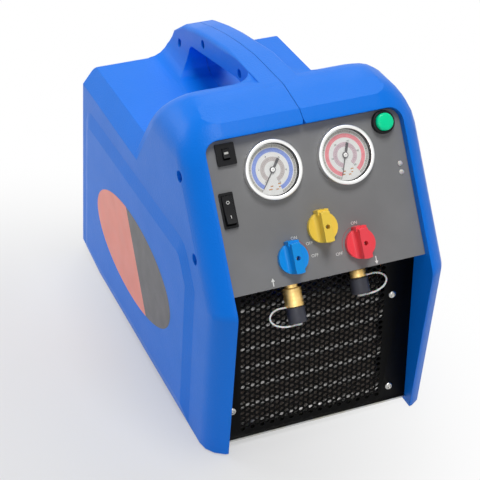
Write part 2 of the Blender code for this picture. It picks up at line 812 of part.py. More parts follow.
def handle_solid():
    """Carrying handle: a flat bar that runs back from the hood and down to the deck."""
    top_line = [(HOOD_REAR - 0.025, HOOD_TOP), (HANDLE_BEND_Y, HOOD_TOP - 0.001)]
    bend = Vector((HANDLE_BEND_Y, HOOD_TOP - 0.001))
    end = Vector((HANDLE_END_Y, HANDLE_END_Z))
    for step in range(1, 5):
        share = step / 4
        sag = 0.0075 * 4 * share * (1 - share) * 0.55
        point = bend.lerp(end, share)
        top_line.append((point.x, point.y + sag))
    heel = [(HANDLE_HEEL_Y - 0.010, HANDLE_END_Z - 0.017), (HANDLE_HEEL_Y, HANDLE_END_Z - 0.036),
            (HANDLE_HEEL_Y + 0.002, DECK_Z), (HANDLE_HEEL_Y - 0.004, DECK_Z - 0.014)]
    inside = [(HOOD_FOOT - 0.02, DECK_Z - 0.014), (HOOD_REAR - 0.025, HOOD_TOP - 0.045)]
    outline = [Vector(at(y, z)[:2]) for y, z in top_line + heel + inside]
    under = HANDLE_THICK
    hole = rounded([
        at(HOOD_REAR + 0.010, HOOD_TOP - under - 0.001),
        at(hood_rear_y(DECK_Z) - 0.008, DECK_Z + 0.0005),
        at(GRIP_HOLE_REAR_Y, DECK_Z + 0.003, GRIP_HOLE_ROUND),
        at(GRIP_HOLE_REAR_Y - 0.004, HANDLE_END_Z - under + 0.007, GRIP_HOLE_ROUND * 0.7),
        at(HANDLE_BEND_Y, HOOD_TOP - under - 0.001),
    ], 4)
    handle = slab("handle", [outline], 2 * HALF_WIDTH, side_frame())
    to_world(handle)
    cut(handle, slab("grip_hole", [hole], 3 * HALF_WIDTH, side_frame(), CUTTERS))
    drop = HANDLE_FLARE_Z - DECK_Z
    flare = [(-HANDLE_FLARE_HALF - 0.006, DECK_Z - 0.03), (HANDLE_FLARE_HALF + 0.006, DECK_Z - 0.03)]
    for step in range(7):
        turn = pi / 2 * step / 6
        flare.append((HANDLE_FLARE_HALF - (HANDLE_FLARE_HALF - HANDLE_HALF) * sin(turn),
                      DECK_Z + drop * (1 - cos(turn))))
    flare.append((HANDLE_HALF, HOOD_TOP + 0.02))
    flare += [(-x, z) for x, z in reversed(flare[2:])]
    width = slab("handle_width", [[Vector(point) for point in flare]], 3 * LENGTH, front_frame(), CUTTERS)
    combine(handle, width, "INTERSECT")

    def bar_edge(face_a, face_b, edge):
        flat, steep = sorted((abs(face_a.normal.x), abs(face_b.normal.x)))
        return flat < 0.01 and steep > 0.30 and max(v.co.z for v in edge.verts) > DECK_Z + 0.002

    return round_edges(handle, bar_edge, HANDLE_ROUND, 2)


def handle_web():
    """The fillets in plan where the bar leaves the hood's rear edge."""
    front_y = HOOD_REAR - 0.030
    rear_y = HOOD_REAR + 0.022
    reach = HANDLE_WEB_HALF - HANDLE_HALF
    side = []
    for step in range(6):
        turn = pi / 2 * step / 5
        side.append(Vector((HANDLE_WEB_HALF - reach * sin(turn) - 0.001,
                            NOSE_Y + HOOD_REAR - 0.006 + (rear_y - HOOD_REAR + 0.006) * (1 - cos(turn)))))
    outline = [Vector((HANDLE_WEB_HALF, NOSE_Y + front_y))] + side
    outline += [Vector((-x, y)) for x, y in reversed(outline)]
    thick = HANDLE_THICK - 0.006
    middle = Matrix.Translation((0.0, 0.0, HOOD_TOP - 0.002 - thick / 2))
    return slab("handle_web", [outline], thick, middle)


def opening_cutters():
    """The room in front of the control panel and of the front sheet."""
    height = OPENING_HEIGHT
    deep = 0.055
    proud = 0.040
    outline = rounded([(-OPENING_HALF, -0.030, 0.0), (OPENING_HALF, -0.030, 0.0),
                       (OPENING_HALF, height, OPENING_CORNER), (-OPENING_HALF, height, OPENING_CORNER)], 5)
    upper = slab("opening_upper", [outline], deep + proud, panel_frame(h=(proud - deep) / 2), CUTTERS)
    lower_outline = [Vector(at(y, z)[:2]) for y, z in (
        (-0.05, FLOOR_CUT), (WING_DEPTH + 0.002, FLOOR_CUT), (WING_DEPTH + 0.002, NOSE_Z + 0.03),
        (-0.05, NOSE_Z + 0.03))]
    lower = slab("opening_lower", [lower_outline], 2 * OPENING_HALF, side_frame(), CUTTERS)
    notch_outline = [Vector((-NOTCH_HALF, height - 0.002)), Vector((NOTCH_HALF, height - 0.002)),
                     Vector((0.0, height + NOTCH_HEIGHT))]
    notch = slab("opening_notch", [notch_outline], 0.060, panel_frame(h=PANEL_RECESS), CUTTERS)
    return [upper, lower, notch]


def vent_outline(shrink):
    return rectangle(2 * (VENT_HALF - shrink), VENT_LENGTH - 2 * shrink, VENT_CORNER - shrink,
                     (0.0, VENT_LENGTH / 2), 3)


def side_surface_x(y, z):
    """Outer face of the housing where a side screw sits: the raised field or the plain side."""
    on_field = z < FIELD_TOP_REAR_Z and y > FIELD_LOW_INSET + FIELD_BEVEL
    return FIELD_X if on_field else HALF_WIDTH


def outward(y, z, side, x):
    """Axes with Z pointing out of the side of the housing."""
    return Matrix.Translation((side * x, NOSE_Y + y, z)) @ Matrix.Rotation(side * pi / 2, 4, "Y")


def screw_bore(y, z, side, start_x, radius, sink):
    """A counterbore with a shank hole beyond it, entered from outside."""
    shank = SCREW_SHANK_RADIUS + GAP
    reach = sink + 0.02
    profile = [(0.0, 0.03), (radius, 0.03), (radius, -sink),
               (shank, -sink), (shank, -reach), (0.0, -reach)]
    return turned("screw_bore", profile, outward(y, z, side, start_x), 10, collection=CUTTERS)


def mirrored(obj, name):
    mesh = obj.data.copy()
    mesh.transform(Matrix.Scale(-1.0, 4, (1.0, 0.0, 0.0)))
    mesh.flip_normals()
    return link_mesh(name, mesh, PARTS)


def right_half():
    half = hood_solid()
    join(half, body_solid(), handle_solid(), handle_web(), side_field())
    reach = 2 * HALF_WIDTH
    keep = box("half_space", (reach, 2 * LENGTH, 3 * HOOD_TOP),
               Matrix.Translation(((reach + SEAM) / 2, 0.0, HOOD_TOP)), CUTTERS)
    combine(half, keep, "INTERSECT")
    hood_room = crossed("hood_room", hood_cavity_profile(), hood_section(WALL, FLOOR_CUT), CUTTERS)
    round_edges(hood_room, hood_rear_edge, REAR_FILLET - WALL, 3)
    round_edges(hood_room, leaning_edge, FRONT_FILLET - FRAME_DEPTH, 2)
    body_room = crossed("body_room", body_cavity_profile(), body_section(WALL, FLOOR_CUT), CUTTERS)
    cut(half, hood_room, body_room, *opening_cutters())
    cut(half, slab("vent_opening", [vent_outline(0.0)], 20 * WALL, vent_frame(), CUTTERS))
    for y, z in SIDE_SCREW_PLACES:
        boss = turned("boss", rod(BOSS_RADIUS, -WALL / 2, -BOSS_LENGTH), outward(y, z, 1, HALF_WIDTH), 12)
        join(half, boss)
        cut(half, screw_bore(y, z, 1, side_surface_x(y, z), SIDE_SINK_RADIUS, SIDE_SINK_DEPTH))
    half.name = "right_shell"
    return half


def build_housing():
    """Two moulded halves that meet on the centre plane; the handle is screwed from the left."""
    right = right_half()
    left = mirrored(right, "left_shell")
    for y, z in HANDLE_SCREW_PLACES:
        cut(left, screw_bore(y, z, -1, HANDLE_HALF, HANDLE_SINK_RADIUS, HANDLE_SINK_DEPTH))
    finished(right, "blue_plastic")
    finished(left, "blue_plastic")


# Control panel and what is mounted on it

def case_hole(x):
    return circle(GAUGE_CASE_RADIUS + GAP, (x, GAUGE_S), 24)


def switch_hole(x, s, width, height):
    return rectangle(width - 2 * SWITCH_EDGE + 2 * GAP, height - 2 * SWITCH_EDGE + 2 * GAP, 0.0, (x, s))


def flange_frame(depth_side):
    """Local X across, local Y back from the panel, local Z up it."""
    turn = Matrix(((1, 0, 0, 0), (0, 0, 1, 0), (0, -1, 0, 0), (0, 0, 0, 1)))
    return panel_frame(s=depth_side) @ turn


def control_panel():
    """Folded sheet: the face with its cut-outs and a flange that runs back under it."""
    half = OPENING_HALF - GAP
    top = OPENING_HEIGHT - GAP
    corner = OPENING_CORNER - GAP
    face = rounded([(-half, 0.0, 0.0), (half, 0.0, 0.0), (half, top, corner), (-half, top, corner)], 4)
    stem_hole = STEM_RADIUS + 2 * GAP
    holes = [case_hole(-GAUGE_X), case_hole(GAUGE_X)]
    holes += [circle(stem_hole, place_on_panel, 12) for place_on_panel in KNOB_PLACES]
    holes.append(circle(button_body_radius() + GAP, (BUTTON_X, BUTTON_S), 20))
    holes += [circle(LAMP_BODY_RADIUS + GAP, (LAMP_X, s), 8) for s in (LAMP_HIGH_S, LAMP_LOW_S)]
    holes.append(switch_hole(SWITCH_X, SWITCH_S, SWITCH_WIDTH, SWITCH_HEIGHT))
    holes.append(switch_hole(BREAKER_X, BREAKER_S, BREAKER_WIDTH, BREAKER_HEIGHT))
    panel = slab("control_panel", [face, *holes], PANEL_SHEET, panel_frame(h=-PANEL_SHEET / 2))
    fold = rectangle(2 * half, PANEL_FLANGE, 0.0, (0.0, PANEL_FLANGE / 2))
    necks = [circle(PORT_NECK_RADIUS + GAP, (side * KNOB_SIDE_X, PORT_DEPTH), 16) for side in (-1, 1)]
    join(panel, slab("panel_flange", [fold, *necks], PANEL_SHEET, flange_frame(PANEL_SHEET / 2)))
    return finished(panel, "panel_grey")


def gauge_case(name, x):
    inner = GAUGE_CASE_RADIUS - GAUGE_CASE_WALL
    ledge = DIAL_TOP - DIAL_THICK - GAP
    floor = GAUGE_CASE_WALL - GAUGE_CASE_DEPTH
    stub = -GAUGE_CASE_DEPTH - GAUGE_STUB
    profile = [(0.0, floor), (inner - 0.0015, floor), (inner - 0.0015, ledge), (inner, ledge),
               (inner, GAUGE_RIM), (gauge_rim_radius(), GAUGE_RIM), (gauge_rim_radius(), GAP),
               (GAUGE_CASE_RADIUS, GAP), (GAUGE_CASE_RADIUS, -GAUGE_CASE_DEPTH),
               (GAUGE_STUB_RADIUS, -GAUGE_CASE_DEPTH), (GAUGE_STUB_RADIUS, stub), (0.0, stub)]
    return finished(turned(name, profile, panel_frame(x, GAUGE_S), 20), "black_steel")


def gauge_rim_radius():
    return GAUGE_BEZEL_RADIUS - 0.0010


def gauge_bezel(name, x):
    """Rolled ring that holds the lens over the dial."""
    outer = GAUGE_BEZEL_RADIUS
    seat = gauge_rim_radius() + GAP
    lens = gauge_lens_radius() + GAP
    lip = outer - GAUGE_BEZEL_LIP
    roof = GAUGE_LENS_TOP + GAP
    profile = [(outer - 0.0010, GAUGE_BEZEL_HEIGHT), (outer, GAUGE_BEZEL_HEIGHT - 0.0010), (outer, GAP),
               (seat, GAP), (seat, GAUGE_RIM + GAP), (lens, GAUGE_RIM + GAP), (lens, roof), (lip, roof),
               (lip, GAUGE_BEZEL_HEIGHT - 0.0004)]
    return finished(turned(name, profile, panel_frame(x, GAUGE_S), 20, ring=True), "zinc")


def gauge_lens_radius():
    return GAUGE_BEZEL_RADIUS - GAUGE_BEZEL_LIP + 0.0013


def gauge_lens(name, x):
    profile = rod(gauge_lens_radius(), GAUGE_LENS_TOP, GAUGE_LENS_TOP - GAUGE_LENS_THICK)
    return finished(turned(name, profile, panel_frame(x, GAUGE_S), 20), "clear")


def gauge_dial(name, x):
    radius = GAUGE_CASE_RADIUS - GAUGE_CASE_WALL - GAP
    profile = sleeve(radius, NEEDLE_PIN_RADIUS + GAP, DIAL_TOP, DIAL_TOP - DIAL_THICK)
    return finished(turned(name, profile, panel_frame(x, GAUGE_S), 20, ring=True), "white_dial")


def gauge_needle(name, x, zero_angle):
    """Pointer with a broad tail, turned clockwise from 12 o'clock by its zero angle."""
    low = DIAL_TOP + GAP
    outline = [Vector(point) for point in (
        (0.0, NEEDLE_LENGTH), (-0.0006, 0.0), (-0.0013, -NEEDLE_TAIL), (0.0013, -NEEDLE_TAIL), (0.0006, 0.0))]
    spin = Matrix.Rotation(-zero_angle, 4, "Z")
    pin = [(0.0, low + NEEDLE_HUB), (NEEDLE_HUB_RADIUS, low + NEEDLE_HUB), (NEEDLE_HUB_RADIUS, low),
           (NEEDLE_PIN_RADIUS, low), (NEEDLE_PIN_RADIUS, -NEEDLE_PIN_DEPTH), (0.0, -NEEDLE_PIN_DEPTH)]
    needle = turned(name, pin, panel_frame(x, GAUGE_S) @ spin, 8)
    blade = slab("blade", [outline], NEEDLE_THICK, panel_frame(x, GAUGE_S, low + NEEDLE_HUB / 2) @ spin)
    join(needle, blade)
    return finished(needle, "black_plastic")


def gauge(prefix, x, zero_angle):
    return [gauge_case(prefix + "_gauge_case", x), gauge_dial(prefix + "_gauge_dial", x),
            gauge_needle(prefix + "_gauge_needle", x, zero_angle),
            gauge_lens(prefix + "_gauge_lens", x), gauge_bezel(prefix + "_gauge_bezel", x)]


def knob(name, x, s, finish):
    """Round knob with a scoop on both sides of a central grip, and a pointer tab."""
    edge = 0.0008
    profile = [(0.0, KNOB_HEIGHT), (KNOB_RADIUS - edge, KNOB_HEIGHT), (KNOB_RADIUS, KNOB_HEIGHT - edge),
               (KNOB_RADIUS, 2 * GAP), (0.0, 2 * GAP)]
    body = turned(name, profile, panel_frame(x, s), 24)
    floor = KNOB_BASE
    beyond = KNOB_RADIUS + 0.005
    for side in (-1, 1):
        scoop = rounded([(side * KNOB_FIN / 2, KNOB_HEIGHT + 0.01, 0.0), (side * KNOB_FIN / 2, floor, 0.004),
                         (side * beyond, floor + 0.002, 0.0), (side * beyond, KNOB_HEIGHT + 0.01, 0.0)], 3)
        upright = Matrix(((1, 0, 0, 0), (0, 0, -1, 0), (0, 1, 0, 0), (0, 0, 0, 1)))
        cut(body, slab("scoop", [scoop], 2 * beyond, panel_frame(x, s) @ upright, CUTTERS))
    root = KNOB_RADIUS - 0.003
    tip = KNOB_RADIUS + KNOB_TAB_REACH
    tab = [Vector(point) for point in (
        (-KNOB_TAB_HALF, root), (KNOB_TAB_HALF, root), (KNOB_TAB_HALF, tip - 0.0006), (0.0012, tip),
        (0.0, tip - 0.0012), (-0.0012, tip), (-KNOB_TAB_HALF, tip - 0.0006))]
    height = KNOB_TAB_HEIGHT
    join(body, slab("tab", [tab], height, panel_frame(x, s, 2 * GAP + height / 2)))
    socket = STEM_RADIUS + GAP
    bore = [(0.0, 0.03), (KNOB_SCREW_RADIUS, 0.03), (KNOB_SCREW_RADIUS, STEM_SOCKET_DEPTH),
            (socket, STEM_SOCKET_DEPTH), (socket, -0.01), (0.0, -0.01)]
    cut(body, turned("knob_bore", bore, panel_frame(x, s), 12, collection=CUTTERS))
    return finished(body, finish)


def valve_stem(name, x, s):
    profile = rod(STEM_RADIUS, STEM_SOCKET_DEPTH - GAP, -(BLOCK_FRONT + BLOCK_THICK * 0.8))
    return finished(turned(name, profile, panel_frame(x, s), 12), "brass")


def valve_block():
    height = BLOCK_TOP - BLOCK_BOTTOM
    outline = rectangle(2 * BLOCK_HALF_WIDTH, height, 0.004, (0.0, BLOCK_BOTTOM + height / 2), 2)
    bores = [circle(STEM_RADIUS + GAP, place_on_panel, 12) for place_on_panel in KNOB_PLACES]
    block = slab("valve_block", [outline, *bores], BLOCK_THICK, panel_frame(h=-BLOCK_FRONT - BLOCK_THICK / 2))
    return finished(block, "cast_aluminium")


def port_frame(side):
    """Local Z runs down the port, away from the valve block."""
    return panel_frame(side * KNOB_SIDE_X, 0.0, -PORT_DEPTH) @ Matrix.Rotation(pi / 2, 4, "X")


def port_fitting(name, side, radius, top, length):
    """Brass union: a neck through the panel flange, a body and a threaded nose."""
    end = top + length
    nose = end + THREAD_LENGTH
    edge = 0.0006
    profile = [(0.0, nose - 0.009), (0.0030, nose - 0.009), (0.0030, nose), (PORT_THREAD_RADIUS, nose),
               (PORT_THREAD_RADIUS, end), (radius - edge, end), (radius, end - edge), (radius, top + edge),
               (radius - edge, top), (PORT_NECK_RADIUS, top), (PORT_NECK_RADIUS, GAP - BLOCK_BOTTOM),
               (0.0, GAP - BLOCK_BOTTOM)]
    return finished(turned(name, profile, port_frame(side), 16), "brass")


def cap_start(top, length):
    return top + length + STRAP_RING_THICK + 2 * GAP


def port_cap(name, side, top, length):
    start = cap_start(top, length)
    end = start + CAP_LENGTH
    bore = PORT_THREAD_RADIUS + GAP
    edge = 0.0008
    profile = [(0.0, end), (CAP_RADIUS - edge, end), (CAP_RADIUS, end - edge), (CAP_RADIUS, start),
               (bore, start), (bore, end - CAP_END_THICK), (0.0, end - CAP_END_THICK)]
    return finished(turned(name, profile, port_frame(side), 16), "black_plastic")


def strap_knots(side, top, length):
    """Loop of the retaining strap, from its ring round the nose to the end of the cap."""
    ring = top + length + GAP + STRAP_RING_THICK / 2
    end = cap_start(top, length) + CAP_LENGTH + GAP + STRAP_END_THICK / 2
    drop = end - ring
    return [Vector((side * x, y, ring + drop * share)) for x, y, share in (
        (0.0072, 0.0, 0.0), (0.0112, 0.0, 0.0), (0.0175, 0.0005, -0.03), (0.0245, 0.0015, 0.10),
        (0.0285, 0.0020, 0.40), (0.0250, 0.0020, 0.76), (0.0160, 0.0012, 0.98), (0.0080, 0.0004, 1.03),
        (0.0020, 0.0, 1.0))]


def cap_strap(name, side, top, length):
    start = top + length + GAP
    ring = sleeve(STRAP_RING_RADIUS, PORT_THREAD_RADIUS + GAP, start + STRAP_RING_THICK, start)
    strap = turned(name, ring, port_frame(side), 16, ring=True)
    end = cap_start(top, length) + CAP_LENGTH + GAP
    button = rod(STRAP_RING_RADIUS * 0.5, end + STRAP_END_THICK, end)
    join(strap, turned("strap_end", button, port_frame(side), 10))
    frame = port_frame(side)
    line = [frame @ point for point in smooth_line(strap_knots(side, top, length), 2)]
    join(strap, tube("strap_loop", line, STRAP_RADIUS))
    return finished(strap, "white_plastic")


def port(prefix, side, radius, top, length):
    return [port_fitting(prefix + "_fitting", side, radius, top, length),
            port_cap(prefix + "_cap", side, top, length),
            cap_strap(prefix + "_cap_strap", side, top, length)]


def button_body_radius():
    return BUTTON_RADIUS + GAP + BUTTON_BODY_WALL


def start_button():
    foot = BUTTON_FOOT
    profile = [(0.0, BUTTON_HEIGHT), (BUTTON_RADIUS - 0.0010, BUTTON_HEIGHT),
               (BUTTON_RADIUS, BUTTON_HEIGHT - 0.0010), (BUTTON_RADIUS, foot), (0.0, foot)]
    return finished(turned("start_button", profile, panel_frame(BUTTON_X, BUTTON_S), 16), "green_button")


def start_switch_body():
    bore = BUTTON_RADIUS + GAP
    floor = BUTTON_FOOT - BUTTON_TRAVEL - GAP
    outer = button_body_radius()
    ring = BUTTON_RING_HEIGHT
    profile = [(0.0, floor), (bore, floor), (bore, ring), (BUTTON_RING_RADIUS - 0.0010, ring),
               (BUTTON_RING_RADIUS, ring - 0.0010), (BUTTON_RING_RADIUS, GAP), (outer, GAP),
               (outer, -BUTTON_BODY_DEPTH), (0.0, -BUTTON_BODY_DEPTH)]
    body = turned("start_switch_body", profile, panel_frame(BUTTON_X, BUTTON_S), 16)
    return finished(body, "black_plastic")


def rocker_room(length, end_height):
    """Half the window that a rocker of this length sweeps when it tips to either side."""
    return length / 2 * cos(ROCKER_TILT) + end_height * sin(ROCKER_TILT) + GAP


def switch_body(name, x, s, width, height, frame, depth, rocker_width, rocker_height, rocker_end):
    """Snap-in switch case: a frame on the panel and a pocket for the rocker behind it."""
    window = rectangle(rocker_width + 2 * GAP, 2 * rocker_room(rocker_height, rocker_end))
    inner = rectangle(width - 2 * SWITCH_EDGE, height - 2 * SWITCH_EDGE)
    body = slab(name, [rectangle(width, height, 0.001, steps=2), window], frame,
                panel_frame(x, s, GAP + frame / 2))
    pocket = SWITCH_POCKET + 0.0004
    join(body, slab("pocket", [inner, window], pocket, panel_frame(x, s, GAP + 0.0004 - pocket / 2)))
    back = depth - SWITCH_POCKET + 0.0004
    join(body, slab("back", [inner], back, panel_frame(x, s, -SWITCH_POCKET + 0.0004 - back / 2)))
    return finished(body, "black_plastic")


def rocker(name, x, s, width, height, end, middle, tip):
    """Rocker about an axis across the panel, tipped so that one end stands out."""
    half = height / 2
    outline = [Vector(point) for point in (
        (-half, 0.0005), (-half * 0.6, -ROCKER_KEEL), (half * 0.6, -ROCKER_KEEL), (half, 0.0005),
        (half, end), (0.0, middle), (-half, end))]
    across = Matrix(((0, 0, 1, 0), (1, 0, 0, 0), (0, 1, 0, 0), (0, 0, 0, 1)))
    tipped = Matrix.Rotation(tip, 4, "X")
    pivot = slab(name, [outline], width, panel_frame(x, s, ROCKER_PIVOT) @ tipped @ across)
    return finished(pivot, "black_plastic")


def switches():
    rocker_end = SWITCH_ROCKER_END
    return [
        switch_body("mode_switch_frame", SWITCH_X, SWITCH_S, SWITCH_WIDTH, SWITCH_HEIGHT, SWITCH_FRAME,
                    SWITCH_DEPTH, SWITCH_ROCKER_WIDTH, SWITCH_ROCKER_HEIGHT, rocker_end),
        rocker("mode_switch_rocker", SWITCH_X, SWITCH_S, SWITCH_ROCKER_WIDTH, SWITCH_ROCKER_HEIGHT,
               rocker_end, rocker_end - 0.0016, -ROCKER_TILT),
        switch_body("breaker_body", BREAKER_X, BREAKER_S, BREAKER_WIDTH, BREAKER_HEIGHT, BREAKER_FRAME,
                    BREAKER_DEPTH, BREAKER_ROCKER_WIDTH, BREAKER_ROCKER_HEIGHT, BREAKER_ROCKER_END),
        rocker("breaker_rocker", BREAKER_X, BREAKER_S, BREAKER_ROCKER_WIDTH, BREAKER_ROCKER_HEIGHT,
               BREAKER_ROCKER_END, BREAKER_ROCKER_END - 0.0008, -ROCKER_TILT),
    ]


def lamp(name, s):
    profile = [(0.0, 0.0018), (0.0016, 0.0015), (LAMP_RADIUS, 0.0007), (LAMP_RADIUS, GAP),
               (LAMP_BODY_RADIUS, GAP), (LAMP_BODY_RADIUS, -LAMP_DEPTH), (0.0, -LAMP_DEPTH)]
    return finished(turned(name, profile, panel_frame(LAMP_X, s), 10), "white_plastic")


# Front sheet, condenser and base

def staggered_holes(bottom, top):
    """Hexagonal holes in staggered rows, clear of the sheet's screws."""
    holes = []
    row_step = GRILLE_PITCH * sin(pi / 3)
    rows = int((top - bottom - 2 * GRILLE_MARGIN_Z) / row_step)
    start = (top + bottom - rows * row_step) / 2
    for row in range(rows + 1):
        shift = GRILLE_PITCH / 2 if row % 2 else 0.0
        reach = GRILLE_FIELD_HALF - shift
        count = int(2 * reach / GRILLE_PITCH)
        first = COIL_X - count * GRILLE_PITCH / 2
        for column in range(count + 1):
            holes.append(circle(GRILLE_HOLE_RADIUS, (first + column * GRILLE_PITCH, start + row * row_step),
                                6, pi / 6))
    return holes


def front_grille():
    half = OPENING_HALF - GAP
    height = GRILLE_TOP_Z - GRILLE_BOTTOM_Z
    outline = rectangle(2 * half, height, 0.0, (0.0, GRILLE_BOTTOM_Z + height / 2))
    holes = staggered_holes(GRILLE_BOTTOM_Z, GRILLE_TOP_Z)
    holes += [circle(SCREW_SHANK_RADIUS + GAP, screw_place, 8) for screw_place in GRILLE_SCREW_PLACES]
    sheet = slab("front_grille", [outline, *holes], GRILLE_SHEET,
                 front_frame(NOSE_Y + GRILLE_SETBACK + GRILLE_SHEET / 2))
    return finished(sheet, "black_steel")


def facing_front(x, y, z):
    """Local Z towards the front."""
    return Matrix.Translation((x, NOSE_Y + y, z)) @ Matrix.Rotation(pi / 2, 4, "X")


def ribbon(path, width):
    """Outline of an even strip along a path in the plane."""
    left = []
    right = []
    last = len(path) - 1
    for index, point in enumerate(path):
        along = (path[min(index + 1, last)] - path[max(index - 1, 0)]).normalized()
        across = Vector((-along.y, along.x)) * (width / 2)
        left.append(point + across)
        right.append(point - across)
    return right + left[::-1]


def coil_path():
    """Passes across the machine, joined by half-turns at alternate ends."""
    path = [Vector((COIL_X - COIL_HALF_RUN, COIL_BOTTOM_Z))]
    radius = COIL_PITCH / 2
    for index in range(COIL_PASSES):
        z = COIL_BOTTOM_Z + index * COIL_PITCH
        side = 1 if index % 2 == 0 else -1
        if index == COIL_PASSES - 1:
            path.append(Vector((COIL_X + side * COIL_HALF_RUN, z)))
            break
        for step in range(7):
            turn = -pi / 2 + pi * step / 6
            bend = side * (COIL_HALF_RUN + radius * cos(turn))
            path.append(Vector((COIL_X + bend, z + radius + radius * sin(turn))))
    return path


def fin_strip(index):
    """Fin folded to and fro between two passes, brazed into both."""
    low = COIL_BOTTOM_Z + index * COIL_PITCH
    step = COIL_HALF_RUN / FIN_WAVES
    reach = COIL_TUBE / 2 - FIN_SHEET
    first = COIL_X - COIL_HALF_RUN
    path = [Vector((first + step * count, low + (COIL_PITCH - reach if count % 2 else reach)))
            for count in range(2 * FIN_WAVES + 1)]
    depth = COIL_DEPTH - 2 * FIN_INSET
    return slab("fin", [ribbon(path, FIN_SHEET)], depth, front_frame(NOSE_Y + COIL_MIDDLE_Y))


def condenser():
    """Brazed core: one flat tube bent back and forth, with folded fin between its passes."""
    tube_outline = ribbon(coil_path(), COIL_TUBE)
    coil = slab("condenser", [tube_outline], COIL_DEPTH, front_frame(NOSE_Y + COIL_MIDDLE_Y))
    for index in range(COIL_PASSES - 1):
        join(coil, fin_strip(index))
    return finished(coil, "aluminium")


def base_plate():
    """Folded tray on the feet, with a tongue forward between the wings."""
    half = HALF_WIDTH - WALL - GAP
    low = FOOT_HEIGHT
    top = FOOT_HEIGHT + BASE_FLANGE
    front_y = WING_DEPTH + 0.003
    outline = [Vector(point) for point in (
        (-half, low), (half, low), (half, top), (half - BASE_SHEET, top), (half - BASE_SHEET, BASE_TOP_Z),
        (BASE_SHEET - half, BASE_TOP_Z), (BASE_SHEET - half, top), (-half, top))]
    length = BASE_REAR_Y - front_y
    tray = slab("base_plate", [outline], length, front_frame(NOSE_Y + front_y + length / 2))
    tongue_rear = front_y + 0.010
    tongue_front = GRILLE_SETBACK - 0.001
    tongue = box("tongue", (2 * (OPENING_HALF - GAP), tongue_rear - tongue_front, BASE_SHEET),
                 Matrix.Translation((0.0, NOSE_Y + (tongue_rear + tongue_front) / 2, low + BASE_SHEET / 2)))
    to_world(tray)
    join(tray, tongue)
    return finished(tray, "zinc")


def foot(name, x, y):
    """Rubber foot that stands on the floor, under the tray."""
    profile = [(0.0, FOOT_HEIGHT - GAP), (FOOT_RADIUS, FOOT_HEIGHT - GAP), (FOOT_RADIUS, 0.001),
               (FOOT_RADIUS - 0.001, 0.0), (0.0, 0.0)]
    return finished(turned(name, profile, Matrix.Translation((x, NOSE_Y + y, 0.0)), 12), "rubber")


def feet():
    for side, word in ((-1, "left"), (1, "right")):
        foot("front_" + word + "_foot", side * FOOT_X, FOOT_FRONT_Y)
        foot("rear_" + word + "_foot", side * FOOT_X, FOOT_REAR_Y)


# Fan, motor and compressor

def shaft_axis(y):
    return facing_front(0.0, y, SHAFT_Z)


def fan_shroud():
    """Folded sheet round the condenser, with flanges in front and the fan's throat in its back."""
    low = BASE_TOP_Z + GAP
    front = GRILLE_BACK_Y + GAP
    rear = SHROUD_FRONT_Y + SHROUD_SHEET
    inner = SHROUD_INNER_X
    outer = inner + SHROUD_SHEET
    lip = inner - SHROUD_FOLD
    height = SHROUD_TOP_Z - low
    outline = [Vector((COIL_X + x, NOSE_Y + y)) for x, y in (
        (lip, front), (outer, front), (outer, rear), (-outer, rear), (-outer, front), (-lip, front),
        (-lip, front + SHROUD_SHEET), (-inner, front + SHROUD_SHEET), (-inner, SHROUD_FRONT_Y),
        (inner, SHROUD_FRONT_Y), (inner, front + SHROUD_SHEET), (lip, front + SHROUD_SHEET))]
    shroud = slab("fan_shroud", [outline], height, Matrix.Translation((0.0, 0.0, low + height / 2)))
    for x, z in GRILLE_SCREW_PLACES:
        hole = rod(SCREW_SHANK_RADIUS + GAP, 0.02, -0.02)
        cut(shroud, turned("flange_hole", hole, facing_front(x, front, z), 8, collection=CUTTERS))
    throat = FAN_RADIUS + FAN_TIP_GAP
    middle = SHROUD_FRONT_Y + SHROUD_RING_DEPTH / 2
    to_world(shroud)
    cut(shroud, slab("throat_hole", [circle(throat + SHROUD_SHEET / 2, (0.0, SHAFT_Z), 28)],
                     2 * SHROUD_RING_DEPTH - 0.01, front_frame(NOSE_Y + middle + 0.008), CUTTERS))
    ring_outlines = [circle(throat + wall, (0.0, SHAFT_Z), 28) for wall in (SHROUD_SHEET, 0.0)]
    ring = slab("throat", ring_outlines, SHROUD_RING_DEPTH, front_frame(NOSE_Y + middle))
    join(shroud, ring)
    return finished(shroud, "black_steel")


def fan_blade(turn):
    """A pitched paddle whose tip follows the fan's circle."""
    root = FAN_HUB_RADIUS - 0.003
    chords = [FAN_BLADE_HALF * (step / 2 - 1) for step in range(5)]
    tip = [Vector((blade_reach(chord), chord)) for chord in chords]
    outline = [Vector((root, -FAN_BLADE_ROOT)), *tip, Vector((root, FAN_BLADE_ROOT))]
    frame = (shaft_axis(FAN_HUB_FRONT_Y + FAN_HUB_LENGTH / 2) @ Matrix.Rotation(turn, 4, "Z")
             @ Matrix.Rotation(FAN_BLADE_PITCH, 4, "X"))
    return slab("blade", [outline], FAN_BLADE_SHEET, frame)


def blade_reach(chord):
    """How far out the blade can go at this place along its chord."""
    across = chord * cos(FAN_BLADE_PITCH)
    return (FAN_RADIUS ** 2 - across ** 2) ** 0.5 - FAN_BLADE_SHEET / 2


def fan_rotor():
    hub = sleeve(FAN_HUB_RADIUS, SHAFT_RADIUS + GAP, 0.0, -FAN_HUB_LENGTH)
    rotor = turned("fan_rotor", hub, shaft_axis(FAN_HUB_FRONT_Y), 20, ring=True)
    for index in range(FAN_BLADES):
        join(rotor, fan_blade(2 * pi * index / FAN_BLADES))
    return finished(rotor, "black_plastic")


def drive_shaft():
    length = CRANKCASE_FRONT_Y + CRANKCASE_LENGTH - 0.004 - SHAFT_FRONT_Y
    shaft = turned("drive_shaft", rod(SHAFT_RADIUS, 0.0, -length), shaft_axis(SHAFT_FRONT_Y), 16)
    return finished(shaft, "zinc")


